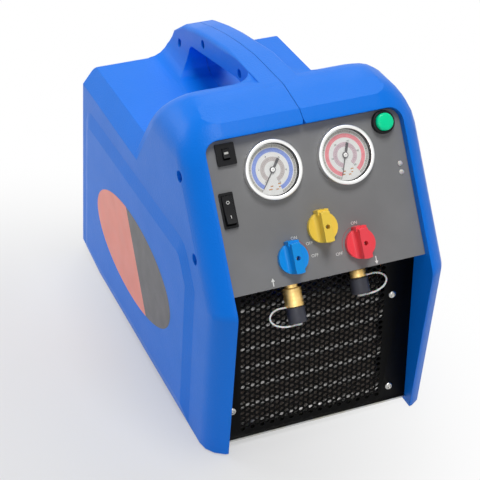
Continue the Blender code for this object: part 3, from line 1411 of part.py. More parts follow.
def motor():
    bore = SHAFT_RADIUS + GAP
    waist = MOTOR_RADIUS - MOTOR_BELL
    end = -MOTOR_LENGTH
    profile = [(waist, 0.0), (MOTOR_RADIUS, -MOTOR_BELL), (MOTOR_RADIUS, end + MOTOR_BELL), (waist, end),
               (bore, end), (bore, 0.0)]
    return finished(turned("motor", profile, shaft_axis(MOTOR_FRONT_Y), 28, ring=True), "black_steel")


def motor_saddle():
    """Two cradles on one foot plate, between the tray and the motor."""
    low = BASE_TOP_Z + GAP
    reach = MOTOR_RADIUS + GAP
    arc = []
    for step in range(9):
        turn = -SADDLE_ANGLE + 2 * SADDLE_ANGLE * step / 8
        arc.append(Vector((reach * sin(turn), SHAFT_Z - reach * cos(turn))))
    outline = [Vector((-SADDLE_HALF, low)), Vector((SADDLE_HALF, low)), Vector((SADDLE_HALF, arc[-1].y)),
               *arc[::-1], Vector((-SADDLE_HALF, arc[0].y))]
    inset = MOTOR_BELL + SADDLE_THICK
    front = MOTOR_FRONT_Y + inset
    rear = MOTOR_FRONT_Y + MOTOR_LENGTH - inset
    foot = rectangle(2 * SADDLE_HALF, SADDLE_FOOT, 0.0, (0.0, low + SADDLE_FOOT / 2))
    span = rear - front + SADDLE_THICK / 2
    saddle = slab("motor_saddle", [foot], span, front_frame(NOSE_Y + (front + rear) / 2))
    to_world(saddle)
    for y in (front, rear):
        join(saddle, slab("cradle", [outline], SADDLE_THICK, front_frame(NOSE_Y + y)))
    return finished(saddle, "zinc")


def crankcase():
    low = BASE_TOP_Z + GAP
    half = CRANKCASE_HALF
    foot = CRANKCASE_FOOT_HALF
    outline = rounded([
        (-foot, low, 0.0), (foot, low, 0.0), (foot, CRANKCASE_LOW_Z - 0.006, 0.0),
        (half, CRANKCASE_LOW_Z, 0.0), (half, CRANKCASE_HIGH_Z, 0.012),
        (-half, CRANKCASE_HIGH_Z, 0.012), (-half, CRANKCASE_LOW_Z, 0.0),
        (-foot, CRANKCASE_LOW_Z - 0.006, 0.0)], 3)
    bore = circle(SHAFT_RADIUS + GAP, (0.0, SHAFT_Z), 16)
    case = slab("crankcase", [outline, bore], CRANKCASE_LENGTH, front_frame(NOSE_Y + CYLINDER_Y))
    return finished(case, "cast_aluminium")


def crankcase_cover():
    height = CRANKCASE_HIGH_Z - CRANKCASE_LOW_Z
    outline = rectangle(2 * CRANKCASE_HALF, height, 0.012, (0.0, CRANKCASE_LOW_Z + height / 2), 3)
    y = NOSE_Y + CRANKCASE_FRONT_Y + CRANKCASE_LENGTH + GAP + COVER_THICK / 2
    return finished(slab("crankcase_cover", [outline], COVER_THICK, front_frame(y)), "cast_aluminium")


def cylinder_axis(side, x):
    middle = Matrix.Translation((side * x, NOSE_Y + CYLINDER_Y, SHAFT_Z))
    return middle @ Matrix.Rotation(side * pi / 2, 4, "Y")


def cylinder(name, side):
    """Finned barrel cast with its head, on one side of the crankcase."""
    pitch = CYLINDER_LENGTH / (2 * CYLINDER_FINS + 1)
    top = CYLINDER_LENGTH + HEAD_THICK
    profile = [(0.0, top), (HEAD_RADIUS - 0.002, top), (HEAD_RADIUS, top - 0.002),
               (HEAD_RADIUS, CYLINDER_LENGTH), (CYLINDER_RADIUS, CYLINDER_LENGTH)]
    for index in range(CYLINDER_FINS, 0, -1):
        fin_top = pitch * 2 * index
        profile += [(CYLINDER_RADIUS, fin_top), (CYLINDER_FIN_RADIUS, fin_top),
                    (CYLINDER_FIN_RADIUS, fin_top - pitch), (CYLINDER_RADIUS, fin_top - pitch)]
    profile += [(CYLINDER_RADIUS, 0.0), (0.0, 0.0)]
    return finished(turned(name, profile, cylinder_axis(side, CRANKCASE_HALF + GAP), 16), "cast_aluminium")


def run_capacitor():
    low = BASE_TOP_Z + GAP
    top = low + CAPACITOR_LENGTH
    profile = [(0.0, top), (CAPACITOR_RADIUS - 0.002, top), (CAPACITOR_RADIUS, top - 0.002),
               (CAPACITOR_RADIUS, low), (0.0, low)]
    return finished(turned("run_capacitor", profile,
                           Matrix.Translation((CAPACITOR_X, NOSE_Y + CAPACITOR_Y, 0.0)), 18), "aluminium")


# Pipes between the valve block, the compressor and the condenser

def behind_block(x, s, depth):
    return panel_frame(x, s, -(BLOCK_FRONT + BLOCK_THICK + depth)).translation


def over(x, y, z):
    return Vector((x, NOSE_Y + y, z))


def head_top(side):
    """Where a pipe meets the top of a cylinder head."""
    x = CRANKCASE_HALF + GAP + CYLINDER_LENGTH + HEAD_THICK / 2
    return [over(side * x, CYLINDER_Y, SHAFT_Z + HEAD_RADIUS + rise) for rise in (0.050, 0.025, PIPE_SEAT)]


def pipe(name, knots, radius):
    return finished(tube(name, smooth_line(knots, 2), radius), "copper")


def pipes():
    clear_z = SHROUD_TOP_Z + 0.017
    left_x = COIL_X - COIL_HALF_RUN - 0.008
    right_x = COIL_X + COIL_HALF_RUN + 0.007
    left_end = COIL_X - COIL_HALF_RUN - GAP
    right_end = COIL_X + COIL_HALF_RUN + GAP
    suction = [behind_block(-0.045, 0.040, GAP), behind_block(-0.045, 0.040, 0.004),
               behind_block(-0.045, 0.040, 0.014),
               over(-0.056, 0.110, clear_z), over(-0.074, 0.200, clear_z - 0.008), *head_top(-1)]
    discharge = [*head_top(1)[::-1], over(right_x, 0.190, clear_z - 0.004), over(right_x, 0.095, clear_z),
                 over(right_x, 0.066, clear_z - 0.010), over(right_x, COIL_MIDDLE_Y, COIL_TOP_Z + 0.016),
                 over(right_x, COIL_MIDDLE_Y, COIL_TOP_Z + 0.007),
                 over(right_x - 0.0022, COIL_MIDDLE_Y, COIL_TOP_Z + 0.0010),
                 over(right_end + 0.0028, COIL_MIDDLE_Y, COIL_TOP_Z),
                 over(right_end + 0.0014, COIL_MIDDLE_Y, COIL_TOP_Z),
                 over(right_end, COIL_MIDDLE_Y, COIL_TOP_Z)]
    back_y = (COIL_FRONT_Y + COIL_DEPTH + SHROUD_FRONT_Y) / 2
    liquid = [over(left_end, COIL_MIDDLE_Y, COIL_BOTTOM_Z),
              over(left_end - 0.002, COIL_MIDDLE_Y, COIL_BOTTOM_Z),
              over(left_x + 0.002, COIL_MIDDLE_Y + 0.001, COIL_BOTTOM_Z + 0.001),
              over(left_x, COIL_MIDDLE_Y + 0.008, COIL_BOTTOM_Z + 0.006),
              over(left_x, back_y, COIL_BOTTOM_Z + 0.018),
              over(left_x, back_y, COIL_TOP_Z - 0.060), over(left_x, back_y, COIL_TOP_Z + 0.016),
              over(-0.050, back_y + 0.003, clear_z - 0.004), behind_block(-0.022, 0.016, 0.010),
              behind_block(-0.022, 0.016, 0.003), behind_block(-0.022, 0.016, GAP)]
    lines = [pipe("suction_pipe", suction, PIPE_RADIUS), pipe("discharge_pipe", discharge, PIPE_RADIUS),
             pipe("liquid_line", liquid, PIPE_RADIUS * 0.8)]
    return lines


def gauge_line(name, side):
    """Small tube from the top of the valve block to the back of a gauge."""
    back = -GAUGE_CASE_DEPTH - GAUGE_STUB - GAP
    knots = [panel_frame(side * GAUGE_X, s, h).translation for s, h in (
        (BLOCK_TOP + GAP, -PORT_DEPTH), (BLOCK_TOP + 0.003, -PORT_DEPTH),
        (BLOCK_TOP + 0.008, -PORT_DEPTH - 0.001), (GAUGE_S - 0.020, back - 0.002),
        (GAUGE_S - 0.006, back - 0.006), (GAUGE_S, back - 0.005), (GAUGE_S, back - 0.002),
        (GAUGE_S, back))]
    return pipe(name, knots, GAUGE_LINE_RADIUS)


def pressure_cutout():
    depth = BLOCK_FRONT + BLOCK_THICK + GAP
    profile = [(0.0, -depth), (CUTOUT_RADIUS * 0.6, -depth), (CUTOUT_RADIUS * 0.6, -depth - 0.006),
               (CUTOUT_RADIUS, -depth - 0.006), (CUTOUT_RADIUS, -depth - CUTOUT_LENGTH),
               (0.0, -depth - CUTOUT_LENGTH)]
    place_s = (BLOCK_BOTTOM + BLOCK_TOP) / 2
    return finished(turned("pressure_cutout", profile, panel_frame(CUTOUT_X, place_s), 14), "black_plastic")


# Rear vent and mains inlet

def inlet_outline(grow, radius=0.0):
    return rectangle(INLET_WIDTH + 2 * grow, INLET_HEIGHT + 2 * grow, radius, (INLET_X, INLET_S), 2)


def rear_vent():
    """Slotted sheet that closes the rear opening."""
    sheet_h = -VENT_RECESS - VENT_SHEET / 2
    low = INLET_S + INLET_HEIGHT / 2 + INLET_FLANGE_EDGE + VENT_SLOT_MARGIN
    high = VENT_LENGTH - VENT_SLOT_MARGIN - VENT_SLOT_HEIGHT / 2
    step = (high - low) / (VENT_SLOTS - 1)
    bay = (2 * VENT_HALF - 4 * VENT_SLOT_MARGIN) / 3
    slots = []
    for row in range(VENT_SLOTS):
        for column in (-1, 0, 1):
            centre = (column * (bay + VENT_SLOT_MARGIN), low + row * step)
            slots.append(rectangle(bay, VENT_SLOT_HEIGHT, 0.0, centre))
    outlines = [vent_outline(GAP), *slots, inlet_outline(GAP)]
    sheet = slab("rear_vent", outlines, VENT_SHEET, vent_frame(h=sheet_h))
    return finished(sheet, "black_steel")


def power_inlet():
    """Panel inlet: flange, socket and its three flat pins."""
    face = GAP - VENT_RECESS
    top = face + INLET_FLANGE
    mouth = rectangle(INLET_WIDTH - 2 * INLET_SOCKET_WALL, INLET_HEIGHT - 2 * INLET_SOCKET_WALL, 0.003,
                      (INLET_X, INLET_S), 1)
    flange = slab("power_inlet", [inlet_outline(INLET_FLANGE_EDGE, 0.004), mouth], INLET_FLANGE,
                  vent_frame(h=top - INLET_FLANGE / 2))
    socket = INLET_SOCKET_DEPTH + 0.0005
    socket_h = face + 0.0005 - socket / 2
    join(flange, slab("socket", [inlet_outline(0.0), mouth], socket, vent_frame(h=socket_h)))
    back = INLET_DEPTH - INLET_SOCKET_DEPTH
    back_h = face - INLET_SOCKET_DEPTH + 0.0005
    join(flange, slab("back", [inlet_outline(0.0)], back, vent_frame(h=back_h - back / 2)))
    for x, s in ((-0.007, -0.002), (0.0, 0.003), (0.007, -0.002)):
        length = INLET_SOCKET_DEPTH * 0.7
        pin = rectangle(INLET_PIN, 2 * INLET_PIN, 0.0, (INLET_X + x, INLET_S + s))
        join(flange, slab("pin", [pin], length, vent_frame(h=back_h + length / 2 - 0.001)))
    return finished(flange, "black_plastic")


def build_panel_group():
    pieces = [control_panel(), valve_block(), start_button(), start_switch_body(), pressure_cutout(),
              lamp("high_pressure_lamp", LAMP_HIGH_S), lamp("low_pressure_lamp", LAMP_LOW_S),
              gauge_line("low_gauge_line", -1), gauge_line("high_gauge_line", 1), *switches()]
    pieces += gauge("low", -GAUGE_X, LOW_ZERO_ANGLE) + gauge("high", GAUGE_X, HIGH_ZERO_ANGLE)
    for name, finish, (x, s) in zip(("inlet", "purge", "outlet"), KNOB_FINISHES, KNOB_PLACES):
        pieces += [knob(name + "_knob", x, s, finish), valve_stem(name + "_stem", x, s)]
    pieces += port("inlet", -1, INLET_BODY_RADIUS, INLET_BODY_TOP, INLET_BODY_LENGTH)
    pieces += port("outlet", 1, OUTLET_BODY_RADIUS, OUTLET_BODY_TOP, OUTLET_BODY_LENGTH)
    return pieces


def hang_on_panel(pieces):
    """Parent the panel's pieces to one empty, so that they tilt with it."""
    axes = bpy.data.objects.new("panel_axes", None)
    PARTS.objects.link(axes)
    place(axes, panel_frame())
    for piece in pieces:
        matrix = piece.matrix_world.copy()
        piece.parent = axes
        piece.matrix_world = matrix


def build_inside():
    for make in (base_plate, feet, condenser, fan_shroud, fan_rotor, drive_shaft, motor, motor_saddle,
                 crankcase, crankcase_cover, run_capacitor, pipes):
        make()
    cylinder("left_cylinder", -1)
    cylinder("right_cylinder", 1)


def build_outside():
    build_housing()
    for make in (front_grille, rear_vent, power_inlet):
        make()


build_outside()
build_inside()
hang_on_panel(build_panel_group())
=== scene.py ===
"""Finished pieces, materials, floor, lights and camera for the refrigerant recovery machine."""

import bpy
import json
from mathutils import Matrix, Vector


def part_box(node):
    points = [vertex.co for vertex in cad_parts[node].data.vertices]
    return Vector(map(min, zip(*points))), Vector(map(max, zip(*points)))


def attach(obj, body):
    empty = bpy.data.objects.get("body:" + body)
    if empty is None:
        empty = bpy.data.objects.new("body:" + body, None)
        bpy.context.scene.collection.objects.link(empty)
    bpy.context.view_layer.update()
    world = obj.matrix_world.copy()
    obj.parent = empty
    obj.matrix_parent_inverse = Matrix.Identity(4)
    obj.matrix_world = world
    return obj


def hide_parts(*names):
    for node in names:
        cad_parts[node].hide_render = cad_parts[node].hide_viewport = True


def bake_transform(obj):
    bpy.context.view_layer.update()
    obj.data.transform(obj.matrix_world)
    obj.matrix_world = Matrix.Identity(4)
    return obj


bl_info = {
    "name": "Refrigerant recovery machine",
    "version": (1, 0, 0),
    "blender": (4, 5, 0),
    "location": "3D Viewport > Sidebar > Recovery",
    "description": "Builds the finished look of a portable refrigerant recovery machine on its frame",
    "category": "Add Mesh",
}

import json
from math import cos, degrees, pi, radians, sin, sqrt

import bmesh
import bpy
from bpy.props import FloatProperty, FloatVectorProperty, IntProperty, PointerProperty
from mathutils import Matrix, Vector

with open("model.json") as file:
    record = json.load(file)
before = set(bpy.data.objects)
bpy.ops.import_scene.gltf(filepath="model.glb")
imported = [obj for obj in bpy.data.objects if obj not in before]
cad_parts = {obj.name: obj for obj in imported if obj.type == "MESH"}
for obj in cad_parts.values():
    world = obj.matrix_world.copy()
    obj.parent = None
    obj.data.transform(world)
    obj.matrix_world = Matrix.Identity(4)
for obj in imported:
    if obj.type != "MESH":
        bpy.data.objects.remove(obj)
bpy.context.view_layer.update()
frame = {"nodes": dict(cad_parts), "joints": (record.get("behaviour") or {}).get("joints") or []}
CAD_NODES = frame["nodes"]
JOINTS = {joint["name"]: joint for joint in frame["joints"]}
ACROSS = Vector((1.0, 0.0, 0.0))
PANEL_OUT = Vector(JOINTS["inlet_valve_turn"]["axis"])
SAME_POINT = 1e-7          # points of a new mesh that are closer than this are joined
PRINT_LIFT = 0.00004       # printing lies this far above the panel
DIAL_SWEEP = radians(306)  # from the first tick of a dial to its last
HANDLE_HALF = 0.0200       # half the thickness of the carrying handle
CAP_GAP = 0.0024           # from the end of a port's body to its dust cap
CAP_LENGTH = 0.0155


def linear(colour):
    """Linear colour of an sRGB hex value."""
    channels = [int(colour[start:start + 2], 16) / 255 for start in (1, 3, 5)]
    return (*[c / 12.92 if c <= 0.04045 else ((c + 0.055) / 1.055) ** 2.4 for c in channels], 1.0)


def tone(colour, share):
    """The same colour made lighter or darker by a share."""
    return (*[min(1.0, channel * share) for channel in colour[:3]], 1.0)


# Places on the machine

def shift(x=0.0, y=0.0, z=0.0):
    return Matrix.Translation((x, y, z))


def facing(point, out):
    """Axes at a point: Z the given way out, X across the machine as far as it can be."""
    out = Vector(out).normalized()
    start = ACROSS if abs(out.x) < 0.9 else Vector((0.0, -1.0, 0.0))
    up = out.cross(start).normalized()
    turn = Matrix((up.cross(out), up, out)).transposed().to_4x4()
    return shift(*point) @ turn


def on_panel(joint, x=0.0, up=0.0, lift=0.0):
    """Axes on the face of the control panel, counted from a joint on it."""
    return facing(JOINTS[joint]["pos_m"], PANEL_OUT) @ shift(x, up, lift)


def down_port(side):
    """Axes at a hose port: Z down the port, Y out of the panel."""
    joint = JOINTS[side + "_cap_pull"]
    return facing(joint["pos_m"], joint["axis"])


# Shapes

def verts_of(geometry):
    return [item for item in geometry if isinstance(item, bmesh.types.BMVert)]


def shown(name, data):
    """A new object in the scene."""
    obj = bpy.data.objects.new(name, data)
    bpy.context.scene.collection.objects.link(obj)
    return obj


def spun(profile, steps, closed=False):
    """Solid of revolution about local Z from (radius, height) pairs."""
    bm = bmesh.new()
    points = [bm.verts.new((radius, 0.0, height)) for radius, height in profile]
    pairs = list(zip(points, points[1:]))
    if closed:
        pairs.append((points[-1], points[0]))
    edges = [bm.edges.new(pair) for pair in pairs]
    bmesh.ops.spin(bm, geom=points + edges, cent=(0, 0, 0), axis=(0, 0, 1), angle=2 * pi, steps=steps,
                   use_merge=True)
    bmesh.ops.remove_doubles(bm, verts=bm.verts, dist=SAME_POINT)
    bmesh.ops.recalc_face_normals(bm, faces=bm.faces)
    return bm


def prism(outline, thickness):
    """Flat outline in X and Y given a thickness along Z, from zero up."""
    bm = bmesh.new()
    face = bm.faces.new([bm.verts.new((x, y, 0.0)) for x, y in outline])
    grown = bmesh.ops.extrude_face_region(bm, geom=[face], use_keep_orig=True)
    bmesh.ops.translate(bm, vec=(0.0, 0.0, thickness), verts=verts_of(grown["geom"]))
    bmesh.ops.recalc_face_normals(bm, faces=bm.faces)
    return bm


def folds(bm, least, most=360.0, near=None):
    """Edges whose faces turn by an angle between two, in degrees, with both ends in a region."""
    return [edge for edge in bm.edges
            if edge.is_manifold and radians(least) < edge.calc_face_angle(0.0) < radians(most)
            and (near is None or all(near(vert.co) for vert in edge.verts))]


def bevelled(bm, edges, radius, segments=2):
    """Rounds these edges."""
    bmesh.ops.bevel(bm, geom=edges, offset=radius, offset_type="OFFSET", segments=segments, profile=0.5,
                    affect="EDGES", clamp_overlap=True, material=-1)


def cut(bm, point, out, **settings):
    """Cuts the whole mesh along a plane."""
    bmesh.ops.bisect_plane(bm, geom=[*bm.verts, *bm.edges, *bm.faces], plane_co=point, plane_no=out,
                           **settings)


def merged(node):
    """Editable copy of a CAD node, its loose triangles joined and its flat areas made whole."""
    bm = bmesh.new()
    bm.from_mesh(CAD_NODES[node].data)
    bmesh.ops.remove_doubles(bm, verts=bm.verts, dist=2e-6)
    bmesh.ops.dissolve_limit(bm, angle_limit=radians(0.4), verts=bm.verts, edges=bm.edges)
    return bm


def stack(bm, *others):
    """Puts the meshes of others into bm."""
    for other in others:
        mesh = bpy.data.meshes.new("stacked")
        other.to_mesh(mesh)
        other.free()
        bm.from_mesh(mesh)
        bpy.data.meshes.remove(mesh)
    return bm


def moved(bm, matrix):
    bmesh.ops.transform(bm, matrix=matrix, verts=bm.verts)
    return bm


def piece(name, bm, material, replaced=(), place=None, body="machine", smooth=35.0, crisp=(),
          soft=()):
    """A finished object in place of CAD nodes, on its body if it has just one.

    It is smooth but for edges past an angle. Crisp edges stay sharp below it, soft ones smooth above it.
    """
    if place:
        moved(bm, place)
    bm.normal_update()
    for face in bm.faces:
        face.smooth = True
    for edge in bm.edges:
        edge.smooth = not edge.is_manifold or edge.calc_face_angle(0.0) < radians(smooth)
    for edges, even in ((crisp, False), (soft, True)):
        for edge in edges:
            edge.smooth = even
    mesh = bpy.data.meshes.new(name)
    bm.to_mesh(mesh)
    bm.free()
    mesh.materials.append(bpy.data.materials[material])
    obj = shown(name, mesh)
    if body:
        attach(obj, body)
    if replaced:
        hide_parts(*replaced)
    return obj


def even_shading(obj):
    """Lets the large faces lead the shading of the rounded edges beside them."""
    obj.modifiers.new("even_shading", "WEIGHTED_NORMAL").keep_sharp = True


def thicken(obj, thickness, offset=0.0):
    """Gives a thin surface its thickness, evenly to both sides unless an offset says otherwise."""
    gauge = obj.modifiers.new("gauge", "SOLIDIFY")
    gauge.thickness = thickness
    gauge.offset = offset


def from_node(node, material, body="machine", radius=0.0, smooth=35.0):
    """A CAD node remade with softened edges and smooth curves."""
    bm = merged(node)
    if radius:
        bevelled(bm, folds(bm, 35.0), radius)
    even_shading(piece(node + "_finished", bm, material, (node,), body=body, smooth=smooth))


def face_out(bm):
    """Turns flat printing so that all of it faces up local Z."""
    bm.normal_update()
    bmesh.ops.reverse_faces(bm, faces=[face for face in bm.faces if face.normal.z < 0.0])
    return bm


def arc_band(inner, outer, start, sweep):
    """Flat curved band from a clockwise angle through a sweep, in radians from 12 o'clock."""
    bm = bmesh.new()
    begin = Matrix.Rotation(-start, 4, "Z")
    ends = [bm.verts.new(begin @ Vector((0.0, radius, 0.0))) for radius in (inner, outer)]
    edge = bm.edges.new(ends)
    bmesh.ops.spin(bm, geom=[*ends, edge], cent=(0, 0, 0), axis=(0, 0, 1), angle=-sweep,
                   steps=max(6, round(degrees(abs(sweep)) / 4)))
    bmesh.ops.remove_doubles(bm, verts=bm.verts, dist=SAME_POINT)
    return face_out(bm)


def bar(width, length, place):
    """Flat rectangle for a printed line."""
    bm = bmesh.new()
    bmesh.ops.create_grid(bm, x_segments=1, y_segments=1, size=0.5)
    bmesh.ops.scale(bm, vec=(width, length, 1.0), verts=bm.verts)
    return face_out(moved(bm, place))


def meshed(curve):
    """Mesh of a text or a line, which is deleted."""
    holder = shown("holder", curve)
    flat = bpy.data.meshes.new_from_object(holder.evaluated_get(bpy.context.evaluated_depsgraph_get()))
    bm = bmesh.new()
    bm.from_mesh(flat)
    bpy.data.objects.remove(holder)
    bpy.data.curves.remove(curve)
    bpy.data.meshes.remove(flat)
    return bm


def lettering(words, size, place):
    """Flat printed letters, centred on their place."""
    curve = bpy.data.curves.new("lettering", "FONT")
    curve.body = words
    curve.size = size
    curve.align_x = "CENTER"
    curve.align_y = "CENTER"
    curve.resolution_u = 3
    return moved(face_out(meshed(curve)), place)


def round_cord(points, radius):
    """Round cord of even thickness along a smooth line."""
    curve = bpy.data.curves.new("cord", "CURVE")
    curve.dimensions = "3D"
    curve.bevel_depth = radius
    curve.bevel_resolution = 4
    curve.use_fill_caps = True
    curve.resolution_u = 8
    line = curve.splines.new("NURBS")
    line.points.add(len(points) - 1)
    for target, point in zip(line.points, points):
        target.co = (*point, 1.0)
    line.use_endpoint_u = True
    line.order_u = 3
    bm = meshed(curve)
    bmesh.ops.remove_doubles(bm, verts=bm.verts, dist=SAME_POINT)
    bmesh.ops.recalc_face_normals(bm, faces=bm.faces)
    return bm


# Materials

def add(tree, kind, inputs=None, **settings):
    """Adds a node with its settings, its input values and its links."""
    node = tree.nodes.new("ShaderNode" + kind)
    for name, value in settings.items():
        setattr(node, name, value)
    for name, value in (inputs or {}).items():
        if isinstance(value, bpy.types.NodeSocket):
            tree.links.new(value, node.inputs[name])
        else:
            node.inputs[name].default_value = value
    return node


def blank(owner):
    """Empty node tree of a material or a world."""
    owner.use_nodes = True
    owner.node_tree.nodes.clear()
    return owner.node_tree


def started(name, **values):
    """A new material with its Principled shader; values are named as the shader's inputs."""
    tree = blank(bpy.data.materials.new(name))
    shader = add(tree, "BsdfPrincipled", {key.replace("_", " "): value for key, value in values.items()})
    add(tree, "OutputMaterial", {"Surface": shader.outputs[0]})
    return tree, shader


def patches(tree, size, detail):
    """Noise in patches of this size, laid over the object's own coordinates."""
    where = add(tree, "TexCoord")
    noise = add(tree, "TexNoise", {"Vector": where.outputs["Object"], "Scale": 1 / size, "Detail": detail})
    return noise.outputs[0]


def mottle(tree, shader, first, second, size, detail=3.0):
    """Base colour that drifts between two tones over patches of this size."""
    spread = add(tree, "MapRange", {"Value": patches(tree, size, detail), "From Min": 0.3, "From Max": 0.7})
    blend = add(tree, "Mix", {0: spread.outputs[0], 6: first, 7: second}, data_type="RGBA")
    tree.links.new(blend.outputs[2], shader.inputs["Base Color"])


def uneven_gloss(tree, shader, low, high, size):
    """Roughness that wanders between two values over patches of this size."""
    gloss = add(tree, "MapRange", {"Value": patches(tree, size, 4.0), "From Min": 0.3, "From Max": 0.7,
                                   "To Min": low, "To Max": high})
    tree.links.new(gloss.outputs[0], shader.inputs["Roughness"])


def grain(tree, shader, size, depth, edge=0.0):
    """Raised grain of a given size and depth; edge rounds the sharp edges it lies on."""
    relief = add(tree, "Bump", {"Height": patches(tree, size, 2.0), "Distance": depth, "Strength": 1.0})
    if edge:
        rounding = add(tree, "Bevel", {"Radius": edge}, samples=4)
        tree.links.new(rounding.outputs[0], relief.inputs["Normal"])
    tree.links.new(relief.outputs[0], shader.inputs["Normal"])


def finish(name, tones, patch, gloss, gloss_patch, relief=None, detail=3.0, **values):
    """A material of two tones, an uneven gloss and, if it has one, a raised grain.

    A tone is a hex value or a linear colour. The second may also be a share of the first.
    """
    tree, shader = started(name, **values)
    first, second = (linear(colour) if isinstance(colour, str) else colour for colour in tones)
    if isinstance(second, float):
        second = tone(first, second)
    mottle(tree, shader, first, second, patch, detail)
    uneven_gloss(tree, shader, *gloss, gloss_patch)
    if relief:
        grain(tree, shader, *relief)


def moulded_plastic(name, colour, low, high, size, depth, edge=0.0, glint=0.3, drift=0.9):
    """Moulded plastic or rubber: one colour through, a fine eroded texture, gloss that wanders a little.

    The texture traps part of the reflected light, so the specular level is below that of a smooth skin.
    """
    finish(name, (colour, drift), 0.06, (low, high), 0.03, (size, depth, edge), IOR=1.53,
           Specular_IOR_Level=glint)


def plain_metal(name, colour, low, high, size, depth, shade=0.86):
    """Bare metal: two close tones, uneven gloss and a little relief."""
    finish(name, (colour, shade), 0.02, (low, high), 0.012, (size, depth), Metallic=1.0)


def powder_coat(name, colour, low, high, depth, glint=0.2):
    """Powder coat: flat colour, orange-peel skin of about 2 mm, matt enough to lose part of its shine."""
    finish(name, (colour, 0.88), 0.05, (low, high), 0.02, (0.002, depth), IOR=1.5, Specular_IOR_Level=glint)


def printed_ink(name, colour):
    """Screen-printed ink: matt, a little uneven where the screen laid it thin."""
    finish(name, (colour, 0.86), 0.003, (0.45, 0.6), 0.004, IOR=1.5, Specular_IOR_Level=0.2)


def vinyl_label(name, colour):
    """Printed vinyl film: flat colour under a thin satin laminate."""
    finish(name, (colour, 0.93), 0.03, (0.4, 0.52), 0.02, (0.006, 0.00004), IOR=1.5, Coat_Weight=0.15,
           Coat_Roughness=0.35)


def clear_lens():
    """Polycarbonate gauge lens: clear and glossy, and the lamps light the dial through it."""
    tree, shader = started("clear_polycarbonate", IOR=1.45, Transmission_Weight=1.0)
    shader.inputs["Base Color"].default_value = linear("#FDFDFD")
    uneven_gloss(tree, shader, 0.01, 0.04, 0.02)
    output = next(node for node in tree.nodes if node.type == "OUTPUT_MATERIAL")
    rays = add(tree, "LightPath")
    open_glass = add(tree, "BsdfTransparent")
    lit = add(tree, "Math", {0: rays.outputs["Is Shadow Ray"], 1: rays.outputs["Is Diffuse Ray"]},
              operation="MAXIMUM")
    choose = add(tree, "MixShader", {0: lit.outputs[0], 1: shader.outputs[0], 2: open_glass.outputs[0]})
    tree.links.new(choose.outputs[0], output.inputs["Surface"])


def turned_brass():
    """Turned brass: warm yellow metal with fine rings left by the lathe, drawn coarse at 0.6 mm."""
    tree, shader = started("turned_brass", Metallic=1.0)
    mottle(tree, shader, linear("#F8D892"), linear("#E9C072"), 0.008)
    where = add(tree, "TexCoord")
    port = facing((0, 0, 0), JOINTS["inlet_cap_pull"]["axis"]).to_euler()
    level = add(tree, "Mapping", {"Vector": where.outputs["Object"], "Rotation": port},
                vector_type="TEXTURE")
    waves = 20   # in one unit of the wave texture
    rings = add(tree, "TexWave", {"Vector": level.outputs[0], "Scale": 1 / (0.0006 * waves),
                                  "Distortion": 0.4}, bands_direction="Z")
    gloss = add(tree, "MapRange", {"Value": rings.outputs[0], "To Min": 0.42, "To Max": 0.54})
    relief = add(tree, "Bump", {"Height": rings.outputs[0], "Distance": 0.00003, "Strength": 1.0})
    tree.links.new(gloss.outputs[0], shader.inputs["Roughness"])
    tree.links.new(relief.outputs[0], shader.inputs["Normal"])


# Settings a user would change

def colour_setting(name, description, value):
    return FloatVectorProperty(name=name, description=description, subtype="COLOR", size=4, min=0.0,
                               max=1.0, default=linear(value))


def length_setting(name, description, value, least=0.0):
    return FloatProperty(name=name, description=description, unit="LENGTH", default=value, min=least)


def power_setting(name, description, value):
    return FloatProperty(name=name, description=description, unit="POWER", default=value, min=0.0)


class HousingSettings(bpy.types.PropertyGroup):
    colour: colour_setting("Colour", "Colour of the moulded housing", "#077BEE")
    edge: length_setting("Edge radius", "Rounding seen on the sharp edges of the moulding", 0.0012)
    knee: length_setting("Knee setback", "How far the knee's rounding reaches on each side", 0.0042)
    grip: length_setting("Grip radius", "Rounding along the top of the handle", 0.0050)
    rim: length_setting("Rim radius", "Rounding round the front opening", 0.0018)
    pebble: length_setting("Pebble size", "Width of one pebble of the moulded texture", 0.0020, 0.0002)


class LabelSettings(bpy.types.PropertyGroup):
    length: length_setting("Length", "Length of the oval side label", 0.239)
    height: length_setting("Height", "Height of the oval side label", 0.110)
    rear_colour: colour_setting("Rear colour", "Colour of the rear part of the label", "#FB9584")
    front_colour: colour_setting("Front colour", "Colour of the front part of the label", "#5E5D5F")


class PanelSettings(bpy.types.PropertyGroup):
    colour: colour_setting("Panel colour", "Powder coat of the control panel", "#868687")
    letter: length_setting("Letter size", "Height setting of the printed words", 0.0042)


class GaugeSettings(bpy.types.PropertyGroup):
    bezel: length_setting("Bezel radius", "Outer radius of a gauge bezel", 0.0285)
    dial: length_setting("Dial radius", "Radius of the printed dial", 0.0243)
    needle: length_setting("Needle length", "From the hub to the tip of the needle", 0.0205)
    low_colour: colour_setting("Low side colour", "Ring of the low pressure dial", "#90A8F2")
    high_colour: colour_setting("High side colour", "Ring of the high pressure dial", "#FF97A0")


class KnobSettings(bpy.types.PropertyGroup):
    inlet: colour_setting("Inlet colour", "Colour of the inlet valve knob", "#069AF4")
    purge: colour_setting("Purge colour", "Colour of the purge valve knob", "#FFDA55")
    outlet: colour_setting("Outlet colour", "Colour of the outlet valve knob", "#FF4E5A")
    button: colour_setting("Button colour", "Colour of the start button", "#04F0AA")


class SheetSettings(bpy.types.PropertyGroup):
    pitch: length_setting("Hole pitch", "Distance between holes of one column", 0.0065, 0.0002)
    hole: length_setting("Hole radius", "Radius of one hole", 0.0023)
    step: length_setting("Column step", "Distance from one column of holes to the next", 0.00528, 0.0002)
    columns: IntProperty(name="Columns", description="Number of columns of holes", default=29, min=1)
    lowest: length_setting("Lowest hole", "Height of the lowest hole of the middle column", 0.0181)


